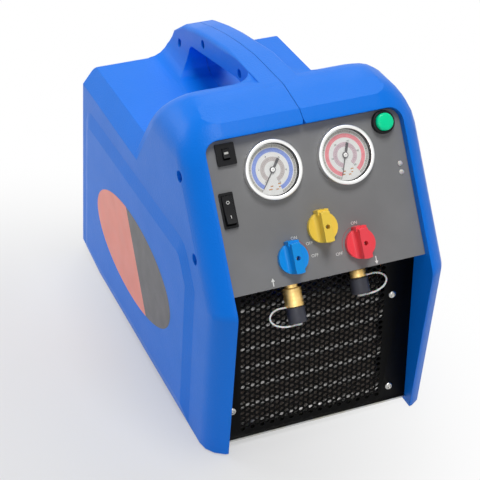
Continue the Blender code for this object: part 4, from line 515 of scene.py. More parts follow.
class CoilSettings(bpy.types.PropertyGroup):
    passes: IntProperty(name="Passes", description="Number of straight runs of the tube", default=7, min=2)
    pitch: length_setting("Pass pitch", "Height from one run to the next", 0.023)
    tube: length_setting("Tube thickness", "Height of the flat tube", 0.0055)
    fold: length_setting("Fin fold", "Distance from one fold of the fin to the next", 0.0021, 0.0002)
    fin: length_setting("Fin thickness", "Thickness of the coated fin", 0.0011)


class StageSettings(bpy.types.PropertyGroup):
    floor: colour_setting("Floor colour", "Colour of the floor", "#F2F2F2")
    key: power_setting("Key light", "Power of the main light", 49.0)
    side: power_setting("Side light", "Power of the light on the side", 23.0)
    fill: power_setting("Fill light", "Power of the light beside the camera", 11.0)
    rear: power_setting("Rear light", "Power of the light that gives the top its sheen", 19.0)
    lens: FloatProperty(name="Lens", description="Focal length of the camera in mm", default=115.7, min=1.0)


# Operators, in the order in which they run

class MixFinishes(bpy.types.Operator):
    """Make every material"""
    bl_idname = "recovery.mix_finishes"
    bl_label = "Mix the finishes"

    def execute(self, context):
        scene = context.scene
        housing = scene.recovery_housing
        knobs = scene.recovery_knobs
        # Pebbled ABS: satin, the texture breaks up highlights; pebbles drawn coarser than the real 0.5 mm
        moulded_plastic("pebbled_blue_abs", housing.colour, 0.38, 0.42, housing.pebble, 0.00026,
                        housing.edge, 0.15, 0.97)
        # Nylon knobs: even colour with a soft sheen
        for name, colour in (("blue_nylon", knobs.inlet), ("yellow_nylon", knobs.purge),
                             ("red_nylon", knobs.outlet)):
            moulded_plastic(name, colour, 0.3, 0.38, 0.0012, 0.00003)
        # Polished ABS button: clean, bright highlights
        moulded_plastic("green_abs", knobs.button, 0.16, 0.24, 0.004, 0.00001, glint=0.15)
        # Black ABS and nylon of switches and sockets: deep grey, fine matt grain
        moulded_plastic("black_abs", "#1C1C1E", 0.34, 0.46, 0.001, 0.00003, glint=0.15)
        moulded_plastic("glass_filled_nylon", "#2E2E31", 0.5, 0.62, 0.0014, 0.00006, glint=0.2)
        # Rubber: dull and dark, almost no highlight
        moulded_plastic("black_rubber", "#1E1E1E", 0.75, 0.88, 0.0012, 0.00005, glint=0.15)
        powder_coat("grey_powder_coat", scene.recovery_panel.colour, 0.5, 0.6, 0.00004)
        powder_coat("black_powder_coat", "#0A0A0A", 0.46, 0.58, 0.00004, 0.06)
        # Motor enamel and the coat of the fins: the same skin, one dark and glossier, one pale and dull;
        # the fins' pale colour is painted light for the deep shade behind the front sheet
        powder_coat("motor_enamel", "#26272A", 0.32, 0.44, 0.00006)
        powder_coat("fin_coat_painted_light", "#B0A49C", 0.55, 0.7, 0.00002)
        # Dial face: stove-enamelled sheet under matt print
        powder_coat("dial_enamel", "#F8F8F6", 0.4, 0.5, 0.00001)
        # Cast aluminium: grey, granular skin of about 1 mm from the sand or die
        plain_metal("cast_aluminium", "#A6A7A8", 0.45, 0.62, 0.0012, 0.00012)
        # Rolled aluminium tube: brighter, almost smooth
        plain_metal("rolled_aluminium", "#EDEBE9", 0.34, 0.48, 0.003, 0.00003, 0.94)
        # Nickel-plated steel of the screws: bright and smooth
        plain_metal("nickel_plate", "#B9B8B5", 0.16, 0.26, 0.006, 0.00001, 0.95)
        # Ground steel shaft: cool grey, the sheen of a fine grind
        plain_metal("ground_steel", "#B4B6B9", 0.2, 0.3, 0.002, 0.00001)
        # White-zinc steel of the bezels: pale, with a wide soft highlight
        plain_metal("white_zinc", "#F0F0EE", 0.3, 0.4, 0.004, 0.00002, 0.95)
        for name, colour in (("white_ink", "#EDEDEA"), ("black_ink", "#2B2B2E"), ("slate_ink", "#5C5B5E"),
                             ("grey_ink", "#CDCBC5"), ("warm_grey_ink", "#D3CAC8"),
                             ("rose_grey_ink", "#DCC3CC"), ("ochre_ink", "#D29A5E"), ("red_ink", "#B4505A"),
                             ("low_ring_ink", scene.recovery_gauges.low_colour),
                             ("high_ring_ink", scene.recovery_gauges.high_colour)):
            printed_ink(name, colour)
        vinyl_label("salmon_vinyl", scene.recovery_label.rear_colour)
        vinyl_label("grey_vinyl", scene.recovery_label.front_colour)
        # Slate-grey polyethylene dust cap: waxy, with soft wide highlights
        finish("slate_polyethylene", ("#33343F", "#272832"), 0.008, (0.42, 0.55), 0.006, (0.0015, 0.00004),
               IOR=1.51, Subsurface_Weight=0.05, Subsurface_Scale=0.001)
        # White silicone strap: milky and soft, with some light carried through it
        finish("white_silicone", ("#F1F1EF", "#DEDEDB"), 0.01, (0.4, 0.55), 0.01,
               IOR=1.41, Subsurface_Weight=0.35, Subsurface_Scale=0.002)
        # Frosted acrylic lamp cap: greyish white with a soft inner glow of its own plastic
        finish("frosted_acrylic", ("#D9D9D6", "#BDBDB9"), 0.004, (0.25, 0.4), 0.004,
               IOR=1.49, Subsurface_Weight=0.3, Subsurface_Scale=0.001)
        # Drawn copper tube: bright orange-brown, darkened in patches by handling and brazing heat
        finish("drawn_copper", ("#D98F69", "#8C5138"), 0.02, (0.25, 0.5), 0.015, detail=5.0, Metallic=1.0)
        # Zinc-plated sheet: cool grey with a faint blue and straw spangle of about 12 mm
        finish("zinc_plated_steel", ("#C9CCD0", "#B9B6A9"), 0.012, (0.28, 0.45), 0.02, (0.004, 0.00004),
               Metallic=1.0)
        clear_lens()
        turned_brass()
        return {"FINISHED"}


class BuildHousing(bpy.types.Operator):
    """Build the two moulded housing halves and the plain oval label on the left one"""
    bl_idname = "recovery.build_housing"
    bl_label = "Housing"

    def execute(self, context):
        settings = context.scene.recovery_housing
        for node in ("left_shell", "right_shell"):
            bm = merged(node)
            bevelled(bm, self.knee(bm), settings.knee, 4)
            bevelled(bm, self.rim(bm), settings.rim)
            brow = self.brow(bm)
            grip = self.grip(bm, settings.grip)
            bm.normal_update()
            even_shading(piece(node + "_finished", bm, "pebbled_blue_abs", (node,),
                               smooth=28.0, crisp=self.field_lines(bm) + brow, soft=grip))
        self.add_label(context.scene.recovery_label)
        return {"FINISHED"}

    def knee(self, bm):
        """Edges where the leaning face of the hood turns down into the front wings."""
        front, low, high = -0.205, 0.177, 0.184
        return folds(bm, 15.0, near=lambda at: at.y < front and low < at.z < high)

    def rim(self, bm):
        """Sharp front edges of the opening that shows the control panel and the front sheet."""
        bm.normal_update()
        split, half_width, front = 0.001, 0.1004, -0.135
        square = folds(bm, 85.0, near=lambda at: split < abs(at.x) < half_width and at.y < front)
        return [edge for edge in square
                if edge.is_convex and min(face.normal.y for face in edge.link_faces) < -0.55]

    def brow(self, bm):
        """Flattens the front of the hood's top to a slope; gives back the crease that it ends in."""
        start = Vector((0.0, -0.0900, 0.3405))
        fall = radians(11.7)
        slope = Vector((0.0, -sin(fall), cos(fall)))
        front = -0.105
        touching = 1e-6
        cut(bm, start, slope, dist=touching)
        for vert in bm.verts:
            above = (vert.co - start).dot(slope)
            if above > touching:
                vert.co.z -= above / slope.z
        bmesh.ops.dissolve_degenerate(bm, edges=bm.edges, dist=touching)
        bm.normal_update()
        return folds(bm, 12.0, near=lambda at: abs((at - start).dot(slope)) < 1e-5 and at.y < front)

    def grip(self, bm, radius):
        """Widens the narrow round along the top of the handle; gives back the edges that it shades over."""
        bm.normal_update()
        across = 0.0012   # longer than the CAD round's edges across it, shorter than those along it
        rows = []
        for middle in bm.verts:
            on_round = 0.0001 < HANDLE_HALF - abs(middle.co.x) < 0.0003 and middle.normal.z > 0.3
            if on_round and -0.03 < middle.co.y < 0.15:
                close = [edge.other_vert(middle) for edge in middle.link_edges
                         if edge.calc_length() < across]
                if len(close) == 2:
                    upper, lower = sorted(close, key=lambda vert: abs(vert.co.x))
                    rows.append((upper, middle, lower))
        soft = []
        for upper, middle, lower in rows:
            top = upper.co.z
            # The round narrows at the front, where the handle leaves the hood
            reach = radius if middle.co.y > 0.0 else 0.32 * radius
            # Share of the radius inwards and down, at the start, the middle and the end of a quarter circle
            for vert, inward, down in ((upper, 1.0, 0.0), (middle, 0.293, 0.293), (lower, 0.0, 1.0)):
                sign = 1 if vert.co.x > 0 else -1
                vert.co.x = sign * (HANDLE_HALF - inward * reach)
                vert.co.z = top - down * reach
                soft += vert.link_edges
        return soft

    def field_lines(self, bm):
        """Both lines of the shallow bevel round the raised side field, which turns by about 14 degrees."""
        return [edge for edge in folds(bm, 12.5, 20.0)
                if min(abs(face.normal.x) for face in edge.link_faces) > 0.93]

    def add_label(self, label):
        """Two-tone oval of film, split by a slanting line."""
        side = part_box("left_shell")[0].x
        middle = Vector((side - 0.0001, 0.0164, 0.1113))
        split_top = Vector((side, 0.0256, 0.1587))
        split_foot = Vector((side, -0.0249, 0.0590))
        along = split_top - split_foot
        rearward = Vector((0.0, along.z, -along.y))
        lean = Matrix.Rotation(radians(-2.4), 4, "X")
        upright = Matrix(((0, 0, -1, 0), (-1, 0, 0, 0), (0, 1, 0, 0), (0, 0, 0, 1)))
        for name, material, keep in (("label_rear", "salmon_vinyl", 1), ("label_front", "grey_vinyl", -1)):
            bm = bmesh.new()
            bmesh.ops.create_circle(bm, cap_ends=True, segments=96, radius=0.5)
            bmesh.ops.scale(bm, vec=(label.length, label.height, 1.0), verts=bm.verts)
            moved(bm, shift(*middle) @ lean @ upright)
            cut(bm, split_foot, rearward * -keep, clear_outer=True)
            piece(name, bm, material)


def socket_screw(radius, height, socket):
    """Domed screw head with a hexagon socket, its underside at zero."""
    bm = bmesh.new()
    rim = bmesh.ops.create_circle(bm, segments=24, radius=radius)["verts"]
    edges = bm.edges[:]
    for share, rise in ((0.97, 0.35), (0.86, 0.70), (0.68, 0.92), (0.52, 1.0)):
        grown = bmesh.ops.extrude_edge_only(bm, edges=edges)["geom"]
        ring = verts_of(grown)
        edges = [item for item in grown if isinstance(item, bmesh.types.BMEdge)
                 and all(vert in ring for vert in item.verts)]
        narrower = share * radius / ring[0].co.xy.length
        higher = rise * height - ring[0].co.z
        bmesh.ops.scale(bm, vec=(narrower, narrower, 1.0), verts=ring)
        bmesh.ops.translate(bm, vec=(0.0, 0.0, higher), verts=ring)
    bmesh.ops.create_circle(bm, segments=6, radius=socket, matrix=shift(z=height))
    hexagon = [edge for edge in bm.edges if edge.is_wire]
    bmesh.ops.bridge_loops(bm, edges=edges + hexagon)
    floor = verts_of(bmesh.ops.extrude_edge_only(bm, edges=hexagon)["geom"])
    bmesh.ops.translate(bm, vec=(0.0, 0.0, -0.6 * height), verts=floor)
    bmesh.ops.contextual_create(bm, geom=floor)
    bmesh.ops.contextual_create(bm, geom=rim)
    bmesh.ops.recalc_face_normals(bm, faces=bm.faces)
    return bm


class AddScrews(bpy.types.Operator):
    """Add the housing screws in their counterbores and the screws of the front sheet"""
    bl_idname = "recovery.add_screws"
    bl_label = "Screws"

    def execute(self, context):
        small, large = (0.0036, 0.0022), (0.0044, 0.0026)   # radius and height of a head
        # Place along the machine and height of each counterbore, and how far from the middle it is seated
        side = ((-0.12855, 0.2865), (-0.16625, 0.2179))
        side_seat = 0.1140
        handle = ((-0.02695, 0.3265), (0.07405, 0.3135), (0.14405, 0.2850))
        handle_seat = 0.0080
        # Place across the machine and height of each screw of the front sheet
        sheet = ((0.0780, 0.1404), (0.0805, 0.0260), (-0.0920, 0.0442), (-0.0920, 0.1404))
        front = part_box("front_grille")[0].y
        heads = [((sign * side_seat, y, z), (sign, 0, 0), small) for sign in (-1, 1) for y, z in side]
        heads += [((-handle_seat, y, z), (-1, 0, 0), small) for y, z in handle]
        heads += [((x, front, z), (0, -1, 0), large) for x, z in sheet]
        screws = bmesh.new()
        for place, out, (radius, height) in heads:
            stack(screws, moved(socket_screw(radius, height, radius * 0.45), facing(place, out)))
        piece("socket_screws", screws, "nickel_plate", smooth=30.0)
        return {"FINISHED"}


class BuildPanel(bpy.types.Operator):
    """Build the control panel with its plain printing"""
    bl_idname = "recovery.build_panel"
    bl_label = "Control panel"

    def execute(self, context):
        letter = context.scene.recovery_panel.letter
        from_node("control_panel", "grey_powder_coat")
        words = bmesh.new()
        # Word, joint it is counted from, then how far across and up from there
        for text, joint, x, up in (("ON", "inlet_valve_turn", 0.0056, 0.0180),
                                   ("OFF", "inlet_valve_turn", 0.0229, -0.0021),
                                   ("OFF", "purge_valve_turn", -0.0148, -0.0125),
                                   ("ON", "outlet_valve_turn", -0.0013, 0.0199),
                                   ("OFF", "outlet_valve_turn", -0.0218, -0.0058)):
            stack(words, lettering(text, letter, on_panel(joint, x, up, PRINT_LIFT)))
        for joint, x, tip in (("inlet_valve_turn", -0.0230, 1), ("outlet_valve_turn", 0.0141, -1)):
            stack(words, self.arrow(on_panel(joint, x, -0.0186, PRINT_LIFT), tip))
        piece("panel_printing", words, "white_ink")
        arcs = bmesh.new()
        # Joint it runs round, where it starts and how far it goes, clockwise in degrees
        for joint, start, sweep in (("inlet_valve_turn", 20, 75), ("outlet_valve_turn", -105, 85)):
            stack(arcs, moved(arc_band(0.0172, 0.0176, radians(start), radians(sweep)),
                              on_panel(joint, lift=PRINT_LIFT)))
        piece("panel_arcs", arcs, "red_ink")
        return {"FINISHED"}

    def arrow(self, place, tip):
        """Plain arrow that says which way the refrigerant flows at a port: 1 is inwards, up the panel."""
        bm = bar(0.0010, 0.0050, shift(y=-0.0010 * tip))
        head = bmesh.new()
        bmesh.ops.create_circle(head, cap_ends=True, segments=3, radius=0.0022)
        turn = Matrix.Rotation(pi if tip < 0 else 0.0, 4, "Z")
        moved(head, shift(0.0, 0.0022 * tip, 0.00001) @ turn)
        return moved(stack(bm, face_out(head)), place)


class BuildGauges(bpy.types.Operator):
    """Build both pressure gauges: cases, printed dials, needles, lenses and bezels"""
    bl_idname = "recovery.build_gauges"
    bl_label = "Gauges"

    def execute(self, context):
        settings = context.scene.recovery_gauges
        # Side, clockwise angle of zero from 12 o'clock in degrees, numbers, inks of outer and inner ring
        for side, zero, numbers, ring, inner in (
                ("low", 217, ("0", "2", "4", "6", "8", "10"), "low_ring_ink", "warm_grey_ink"),
                ("high", 200, ("0", "10", "20", "30", "40", "50"), "high_ring_ink", "rose_grey_ink")):
            name = side + "_gauge_"
            zero = radians(zero)
            place = on_panel(side + "_needle_sweep")
            from_node(name + "case", "black_powder_coat")
            self.bezel_and_lens(name, settings.bezel, place)
            dial = settings.dial
            plate = [(0.0009, 0.0006), (dial - 0.0001, 0.0006), (dial, 0.0005), (dial, -0.0002),
                     (0.0009, -0.0002)]
            piece(name + "dial_plate", spun(plate, 96, True), "dial_enamel", (name + "dial",),
                  place)
            self.print_dial(name, zero, numbers, ring, inner, place @ shift(z=0.00064))
            self.needle(side, settings.needle, place @ Matrix.Rotation(-zero, 4, "Z"))
        return {"FINISHED"}

    def bezel_and_lens(self, name, bezel, place):
        """Rolled bezel of a given outer radius, and the lens under its lip."""
        lens = bezel - 0.0023
        lip = bezel - 0.0036
        profile = [(lip, 0.0060), (lip + 0.0001, 0.0064), (lip + 0.0007, 0.0067), (bezel - 0.0016, 0.0068),
                   (bezel - 0.0008, 0.0066), (bezel - 0.0002, 0.0060), (bezel, 0.0052), (bezel, 0.0003),
                   (bezel - 0.0007, 0.0003), (bezel - 0.0007, 0.0021), (lens + 0.0003, 0.0021),
                   (lens + 0.0003, 0.0057), (lip, 0.0057)]
        piece(name + "rolled_bezel", spun(profile, 96, True), "white_zinc", (name + "bezel",),
              place)
        glass = [(0.0, 0.0054), (lens - 0.0002, 0.0054), (lens, 0.0052), (lens, 0.0044),
                 (lens - 0.0002, 0.0042), (0.0, 0.0042)]
        piece(name + "clear_lens", spun(glass, 96), "clear_polycarbonate", (name + "lens",),
              place)

    def print_dial(self, name, zero, numbers, ring, inner, place):
        """Scale, coloured ring, inner scale and numbers, printed on the plate."""
        outer_steps, long_every, inner_steps = 50, 5, 30
        circle = 0.0135   # radius on which the numbers stand
        black = bmesh.new()
        for index in range(outer_steps + 1):
            width, length = (0.00018, 0.0012) if index % long_every else (0.00032, 0.0022)
            self.tick(black, zero + DIAL_SWEEP * index / outer_steps, 0.0233 - length / 2, width, length)
        for index in range(inner_steps + 1):
            self.tick(black, zero + DIAL_SWEEP * index / inner_steps, 0.0100, 0.00016, 0.0010)
        for index, number in enumerate(numbers):
            angle = zero + DIAL_SWEEP * index / (len(numbers) - 1) * 0.98 + radians(3)
            spot = shift(sin(angle) * circle, cos(angle) * circle, 0.00002)
            stack(black, lettering(number, 0.0026, spot))
        piece(name + "scale", black, "black_ink", place=place)
        # Band, its inner and outer radius, its ink, and how far it lies below the others
        for band, inside, outside, ink, below in (("outer_track", 0.0212, 0.0236, "grey_ink", 0.0),
                                                  ("coloured_ring", 0.0166, 0.0204, ring, 0.0),
                                                  ("inner_track", 0.0080, 0.0122, inner, 0.00001)):
            piece(name + band, arc_band(inside, outside, zero, DIAL_SWEEP), ink,
                  place=place @ shift(z=-below))
        marks = bmesh.new()
        for x, y, width in ((-0.0052, -0.0178, 0.0036), (-0.0036, -0.0150, 0.0026),
                            (0.0014, -0.0186, 0.0026), (0.0044, -0.0138, 0.0030),
                            (0.0040, -0.0166, 0.0020)):
            stack(marks, bar(width, 0.0011, shift(x, y)))
        piece(name + "foot_marks", marks, "ochre_ink", place=place)

    def tick(self, bm, angle, radius, width, length):
        """Adds a line that points to the middle, at an angle clockwise from 12 o'clock."""
        stack(bm, bar(width, length, Matrix.Rotation(-angle, 4, "Z") @ shift(0.0, radius, 0.00002)))

    def needle(self, side, length, place):
        """Fine pointer with a broad counterweight and a pale hub."""
        name = side + "_gauge_"
        body = side + "_needle"
        blade = prism([(-0.00022, length), (-0.00055, 0.0), (-0.0012, -0.0040), (-0.0013, -0.0120),
                       (0.0013, -0.0120), (0.0012, -0.0040), (0.00055, 0.0), (0.00022, length)], 0.0005)
        pin = spun([(0.0, -0.0040), (0.0006, -0.0040), (0.0006, 0.0014), (0.0, 0.0014)], 16)
        piece(name + "pointer", stack(moved(blade, shift(z=0.0014)), pin), "slate_ink",
              (name + "needle",), place, body)
        # Piece, its material, the steps round it, and its outline
        for part, material, steps, profile in (
                ("hub_seat", "slate_ink", 32,
                 [(0.0, 0.0020), (0.0029, 0.0020), (0.0029, 0.0008), (0.0, 0.0008)]),
                ("hub", "white_zinc", 32,
                 [(0.0, 0.0024), (0.0010, 0.0024), (0.0019, 0.0023), (0.0021, 0.0021), (0.0021, 0.0009),
                  (0.0, 0.0009)]),
                ("hub_dot", "warm_grey_ink", 16,
                 [(0.0, 0.0026), (0.0007, 0.0026), (0.0007, 0.0022), (0.0, 0.0022)])):
            piece(name + part, spun(profile, steps), material, place=place, body=body)


class BuildValves(bpy.types.Operator):
    """Build the three valve knobs, their stems and the valve block"""
    bl_idname = "recovery.build_valves"
    bl_label = "Valves"

    def execute(self, context):
        for side, material in (("inlet", "blue_nylon"), ("purge", "yellow_nylon"), ("outlet", "red_nylon")):
            body = side + "_valve"
            from_node(side + "_knob", material, body, 0.0005)
            from_node(side + "_stem", "turned_brass", body)
            screw = moved(socket_screw(0.0021, 0.0016, 0.0010), shift(z=0.0101))
            piece(side + "_knob_screw", screw, "nickel_plate", body=body,
                  place=on_panel(side + "_valve_turn"))
        from_node("valve_block", "cast_aluminium", radius=0.0006)
        return {"FINISHED"}


class BuildSwitches(bpy.types.Operator):
    """Build the start button, mode switch, breaker and lamps"""
    bl_idname = "recovery.build_switches"
    bl_label = "Switches and lamps"

    def execute(self, context):
        place = on_panel("start_button_press")
        crown = [(0.0, 0.0100), (0.0040, 0.0099), (0.0068, 0.0095), (0.0079, 0.0090), (0.0084, 0.0083),
                 (0.0085, 0.0074), (0.0085, -0.0060), (0.0, -0.0060)]
        piece("green_button_cap", spun(crown, 64), "green_abs", ("start_button",), place,
              "start_push")
        ring = [(0.0, -0.0093), (0.0088, -0.0093), (0.0088, 0.0052), (0.0091, 0.0055), (0.0105, 0.0055),
                (0.0111, 0.0051), (0.0113, 0.0045), (0.0113, 0.0003), (0.0098, 0.0003), (0.0098, -0.0260),
                (0.0, -0.0260)]
        piece("button_collar", spun(ring, 64), "black_abs", ("start_switch_body",), place)
        for node in ("mode_switch_frame", "breaker_body"):
            from_node(node, "black_abs", radius=0.0003)
        from_node("mode_switch_rocker", "black_abs", "mode_rocker", 0.0004)
        from_node("breaker_rocker", "black_abs", "breaker_reset", 0.0003)
        self.mark_rockers()
        for lamp in ("high_pressure_lamp", "low_pressure_lamp"):
            from_node(lamp, "frosted_acrylic")
        return {"FINISHED"}

    def mark_rockers(self):
        """O and I on the mode switch, and a pale bar on the reset rocker, printed on their tipped faces."""
        tipped = Matrix.Rotation(radians(-9.0), 4, "X")
        reach = 0.0068   # of both marks from the middle of the rocker
        rise = reach / 0.0131 * 0.0016   # of the rocker's face on the way there
        level = 0.0034 + rise + 0.00035
        marks = bmesh.new()
        for mark, end in ((arc_band(0.0011, 0.0016, 0.0, 2 * pi), 1), (bar(0.0005, 0.0030, shift()), -1)):
            rake = Matrix.Rotation(radians(7.0 * end), 4, "X")
            stack(marks, moved(mark, shift(0.0, reach * end, level) @ rake))
        piece("mode_switch_marks", marks, "white_ink", body="mode_rocker",
              place=on_panel("mode_rocker_tip") @ tipped)
        piece("breaker_mark", bar(0.0040, 0.0020, shift(0.0, 0.0004, 0.0039)), "grey_ink",
              body="breaker_reset", place=on_panel("breaker_reset_tip") @ tipped)


class BuildPorts(bpy.types.Operator):
    """Build the two hose ports with their dust caps and retaining straps"""
    bl_idname = "recovery.build_ports"
    bl_label = "Hose ports"

    def execute(self, context):
        # Port, body radius, where the body starts and its length down the port
        for side, radius, top, length in (("inlet", 0.0090, 0.0045, 0.016),
                                          ("outlet", 0.0076, 0.0012, 0.0059)):
            self.fitting(side, radius, top, length)
            self.cap(side, top + length + CAP_GAP)
            self.strap(side, top + length)
        return {"FINISHED"}

    def fitting(self, side, radius, top, length):
        """Union with a skirt that hides the strap's ring, and the nose that the dust cap screws onto."""
        end = top + length
        nose = end + 0.0115
        skirt = end + 0.0019
        profile = [(0.0, nose - 0.009), (0.0030, nose - 0.009), (0.0030, nose - 0.0003), (0.0033, nose),
                   (0.0050, nose), (0.0055, nose - 0.0005), (0.0055, end), (0.0071, end), (0.0071, skirt),
                   (radius - 0.0005, skirt), (radius, skirt - 0.0005), (radius, top + 0.0010),
                   (radius - 0.0003, top + 0.0003), (radius - 0.0010, top), (0.0065, top),
                   (0.0065, -0.0057), (0.0, -0.0057)]
        piece(side + "_union", spun(profile, 64), "turned_brass", (side + "_fitting",),
              down_port(side))

    def cap(self, side, start):
        """Plain round dust cap, open towards the port."""
        end = start + CAP_LENGTH
        profile = [(0.0, end), (0.0070, end), (0.0082, end - 0.0003), (0.0088, end - 0.0009),
                   (0.0090, end - 0.0018), (0.0090, start + 0.0004), (0.0086, start), (0.0058, start),
                   (0.0058, end - 0.0025), (0.0, end - 0.0025)]
        piece(side + "_dust_cap_finished", spun(profile, 64), "slate_polyethylene",
              (side + "_cap",), down_port(side), side + "_dust_cap")

    def strap(self, side, start):
        """Ring round the nose, a loop, and a button on the end of the cap, moulded as one."""
        sign = -1 if side == "inlet" else 1
        ring = start + 0.0012
        cap_end = start + CAP_GAP + CAP_LENGTH
        end = cap_end + 0.0012
        # Distance across the panel, distance out of it, and share of the way from the ring to the button
        knots = [Vector((sign * x, y, ring + (end - ring) * share)) for x, y, share in (
            (0.0066, 0.0, 0.0), (0.0112, 0.0, 0.0), (0.0175, 0.0005, -0.03), (0.0245, 0.0015, 0.10),
            (0.0285, 0.0020, 0.40), (0.0250, 0.0020, 0.76), (0.0160, 0.0012, 0.98), (0.0080, 0.0004, 1.03),
            (0.0020, 0.0, 1.0))]
        collar = [(0.0058, start + 0.0003), (0.0067, start + 0.0003), (0.0069, start + 0.0008),
                  (0.0069, start + 0.0016), (0.0067, start + 0.0021), (0.0058, start + 0.0021)]
        foot = cap_end + 0.0003
        button = [(0.0, foot), (0.0041, foot), (0.0041, foot + 0.0014), (0.0036, foot + 0.0018),
                  (0.0, foot + 0.0018)]
        bm = stack(round_cord(knots, 0.0009), spun(collar, 48, True), spun(button, 32))
        place = down_port(side)
        strap = piece(side + "_strap_finished", bm, "white_silicone",
                      (side + "_cap_strap",), place, body=None)
        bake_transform(strap)


class BuildFrontSheet(bpy.types.Operator):
    """Build the perforated front sheet"""
    bl_idname = "recovery.build_front_sheet"
    bl_label = "Front sheet"

    def execute(self, context):
        settings = context.scene.recovery_sheet
        pitch = settings.pitch
        step = settings.step
        low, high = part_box("front_grille")
        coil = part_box("condenser")
        middle = (coil[0].x + coil[1].x) / 2
        half = (settings.columns // 2 + 0.5) * step
        reach = int((high.x + abs(middle)) / step) + 1
        below = 4        # plain rows under the lowest hole
        margin = 0.001   # kept free of holes under the sheet's upper edge
        bm = bmesh.new()
        holed = self.cell_mesh(pitch, step, settings.hole)
        plain = self.cell_mesh(pitch, step, 0.0)
        for column in range(-reach, reach + 1):
            for row in range(-below, int((high.z - low.z) / pitch) + 2):
                x = middle + column * step
                z = settings.lowest + (row + (column % 2) / 2) * pitch
                inside = abs(x - middle) < half and row >= 0 and z + settings.hole < high.z - margin
                before = len(bm.verts)
                bm.from_mesh(holed if inside else plain)
                bm.verts.ensure_lookup_table()
                bmesh.ops.translate(bm, vec=(x, 0.0, z), verts=bm.verts[before:])
        bmesh.ops.remove_doubles(bm, verts=bm.verts, dist=1e-6)
        for point, away in (((low.x, 0, 0), (-1, 0, 0)), ((high.x, 0, 0), (1, 0, 0)),
                            ((0, 0, low.z), (0, 0, -1)), ((0, 0, high.z), (0, 0, 1))):
            cut(bm, point, away, clear_outer=True)
        beside = {vert for vert in bm.verts if abs(vert.co.x - middle) > half}
        bmesh.ops.dissolve_limit(bm, angle_limit=radians(0.1), verts=list(beside),
                                 edges=[edge for edge in bm.edges if beside.issuperset(edge.verts)])
        bm.normal_update()
        bmesh.ops.reverse_faces(bm, faces=[face for face in bm.faces if face.normal.y > 0.0])
        sheet = piece("perforated_sheet", bm, "black_powder_coat", ("front_grille",),
                      shift(y=low.y))
        thicken(sheet, high.y - low.y, -1.0)
        bpy.data.meshes.remove(holed)
        bpy.data.meshes.remove(plain)
        return {"FINISHED"}

    def cell_mesh(self, pitch, step, hole):
        """One six-sided cell of the sheet, with a hole in it or plain."""
        bm = bmesh.new()
        turn = Matrix.Rotation(pi / 2, 4, "X") @ Matrix.Rotation(pi / 6, 4, "Z")
        bmesh.ops.create_circle(bm, cap_ends=not hole, segments=6, radius=pitch / sqrt(3), matrix=turn)
        bmesh.ops.scale(bm, vec=(step / (pitch * sqrt(3) / 2), 1.0, 1.0), verts=bm.verts)
        if hole:
            bmesh.ops.create_circle(bm, segments=12, radius=hole, matrix=turn)
            bmesh.ops.bridge_loops(bm, edges=bm.edges[:])
        mesh = bpy.data.meshes.new("cell")
        bm.to_mesh(mesh)
        bm.free()
        return mesh


class BuildCoil(bpy.types.Operator):
    """Build the condenser: a flat tube bent back and forth with folded fin between its passes"""
    bl_idname = "recovery.build_coil"
    bl_label = "Condenser"

    def execute(self, context):
        settings = context.scene.recovery_coil
        low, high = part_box("condenser")
        depth = high.y - low.y
        centre = (low.x + high.x) / 2
        pitch = settings.pitch
        radius = pitch / 2
        half = high.x - centre - radius - settings.tube / 2
        first = low.z + settings.tube / 2
        last = settings.passes - 1
        points = [(-half, first)]
        for index in range(last):
            side = -1 if index % 2 else 1
            for count in range(17):
                turn = -pi / 2 + pi * count / 16
                points.append((side * (half + radius * cos(turn)),
                               first + index * pitch + radius + radius * sin(turn)))
        points.append(((-1 if last % 2 else 1) * half, first + last * pitch))
        bm = bmesh.new()
        self.sweep(bm, [(centre + x, low.y, z) for x, z in points], depth)
        thicken(piece("condenser_tube", bm, "rolled_aluminium", ("condenser",)), settings.tube)
        inset = 0.001   # of the fins behind the tube's front and before its back
        gap = (pitch - settings.tube) / 2
        number = int(2 * half / settings.fold)
        fins = bmesh.new()
        for index in range(last):
            middle = first + (index + 0.5) * pitch
            self.sweep(fins, [(centre - half + fold * 2 * half / number, low.y + inset,
                               middle + (gap if fold % 2 else -gap)) for fold in range(number + 1)],
                       depth - 2 * inset)
        # The fins' pale coat is painted light that makes up for the deep shade behind the front sheet
        thicken(piece("condenser_fins", fins, "fin_coat_painted_light", smooth=80.0), settings.fin)
        return {"FINISHED"}

    def sweep(self, bm, line, depth):
        """Adds the strip that a line of points leaves as it moves back by a depth."""
        verts = [bm.verts.new(point) for point in line]
        edges = [bm.edges.new(pair) for pair in zip(verts, verts[1:])]
        grown = bmesh.ops.extrude_edge_only(bm, edges=edges)["geom"]
        bmesh.ops.translate(bm, vec=(0.0, depth, 0.0), verts=verts_of(grown))
        bmesh.ops.recalc_face_normals(bm, faces=bm.faces)


class BuildDrive(bpy.types.Operator):
    """Finish the fan, motor, compressor, capacitor and piping behind the condenser"""
    bl_idname = "recovery.build_drive"
    bl_label = "Drive and piping"

    def execute(self, context):
        # Material, body, rounding of the edges, and the nodes that have them
        for material, body, radius, nodes in (
                ("black_powder_coat", "machine", 0.0, ("fan_shroud",)),
                ("glass_filled_nylon", "drive", 0.0, ("fan_rotor",)),
                ("ground_steel", "drive", 0.0, ("drive_shaft",)),
                ("motor_enamel", "machine", 0.0008, ("motor",)),
                ("zinc_plated_steel", "machine", 0.0003, ("motor_saddle",)),
                ("cast_aluminium", "machine", 0.0008, ("crankcase", "crankcase_cover")),
                ("cast_aluminium", "machine", 0.0, ("left_cylinder", "right_cylinder")),
                ("rolled_aluminium", "machine", 0.0008, ("run_capacitor",)),
                ("black_abs", "machine", 0.0003, ("pressure_cutout",))):
            for node in nodes:
                from_node(node, material, body, radius)
        for pipe in ("suction_pipe", "discharge_pipe", "liquid_line", "low_gauge_line", "high_gauge_line"):
            from_node(pipe, "drawn_copper", smooth=50.0)
        return {"FINISHED"}


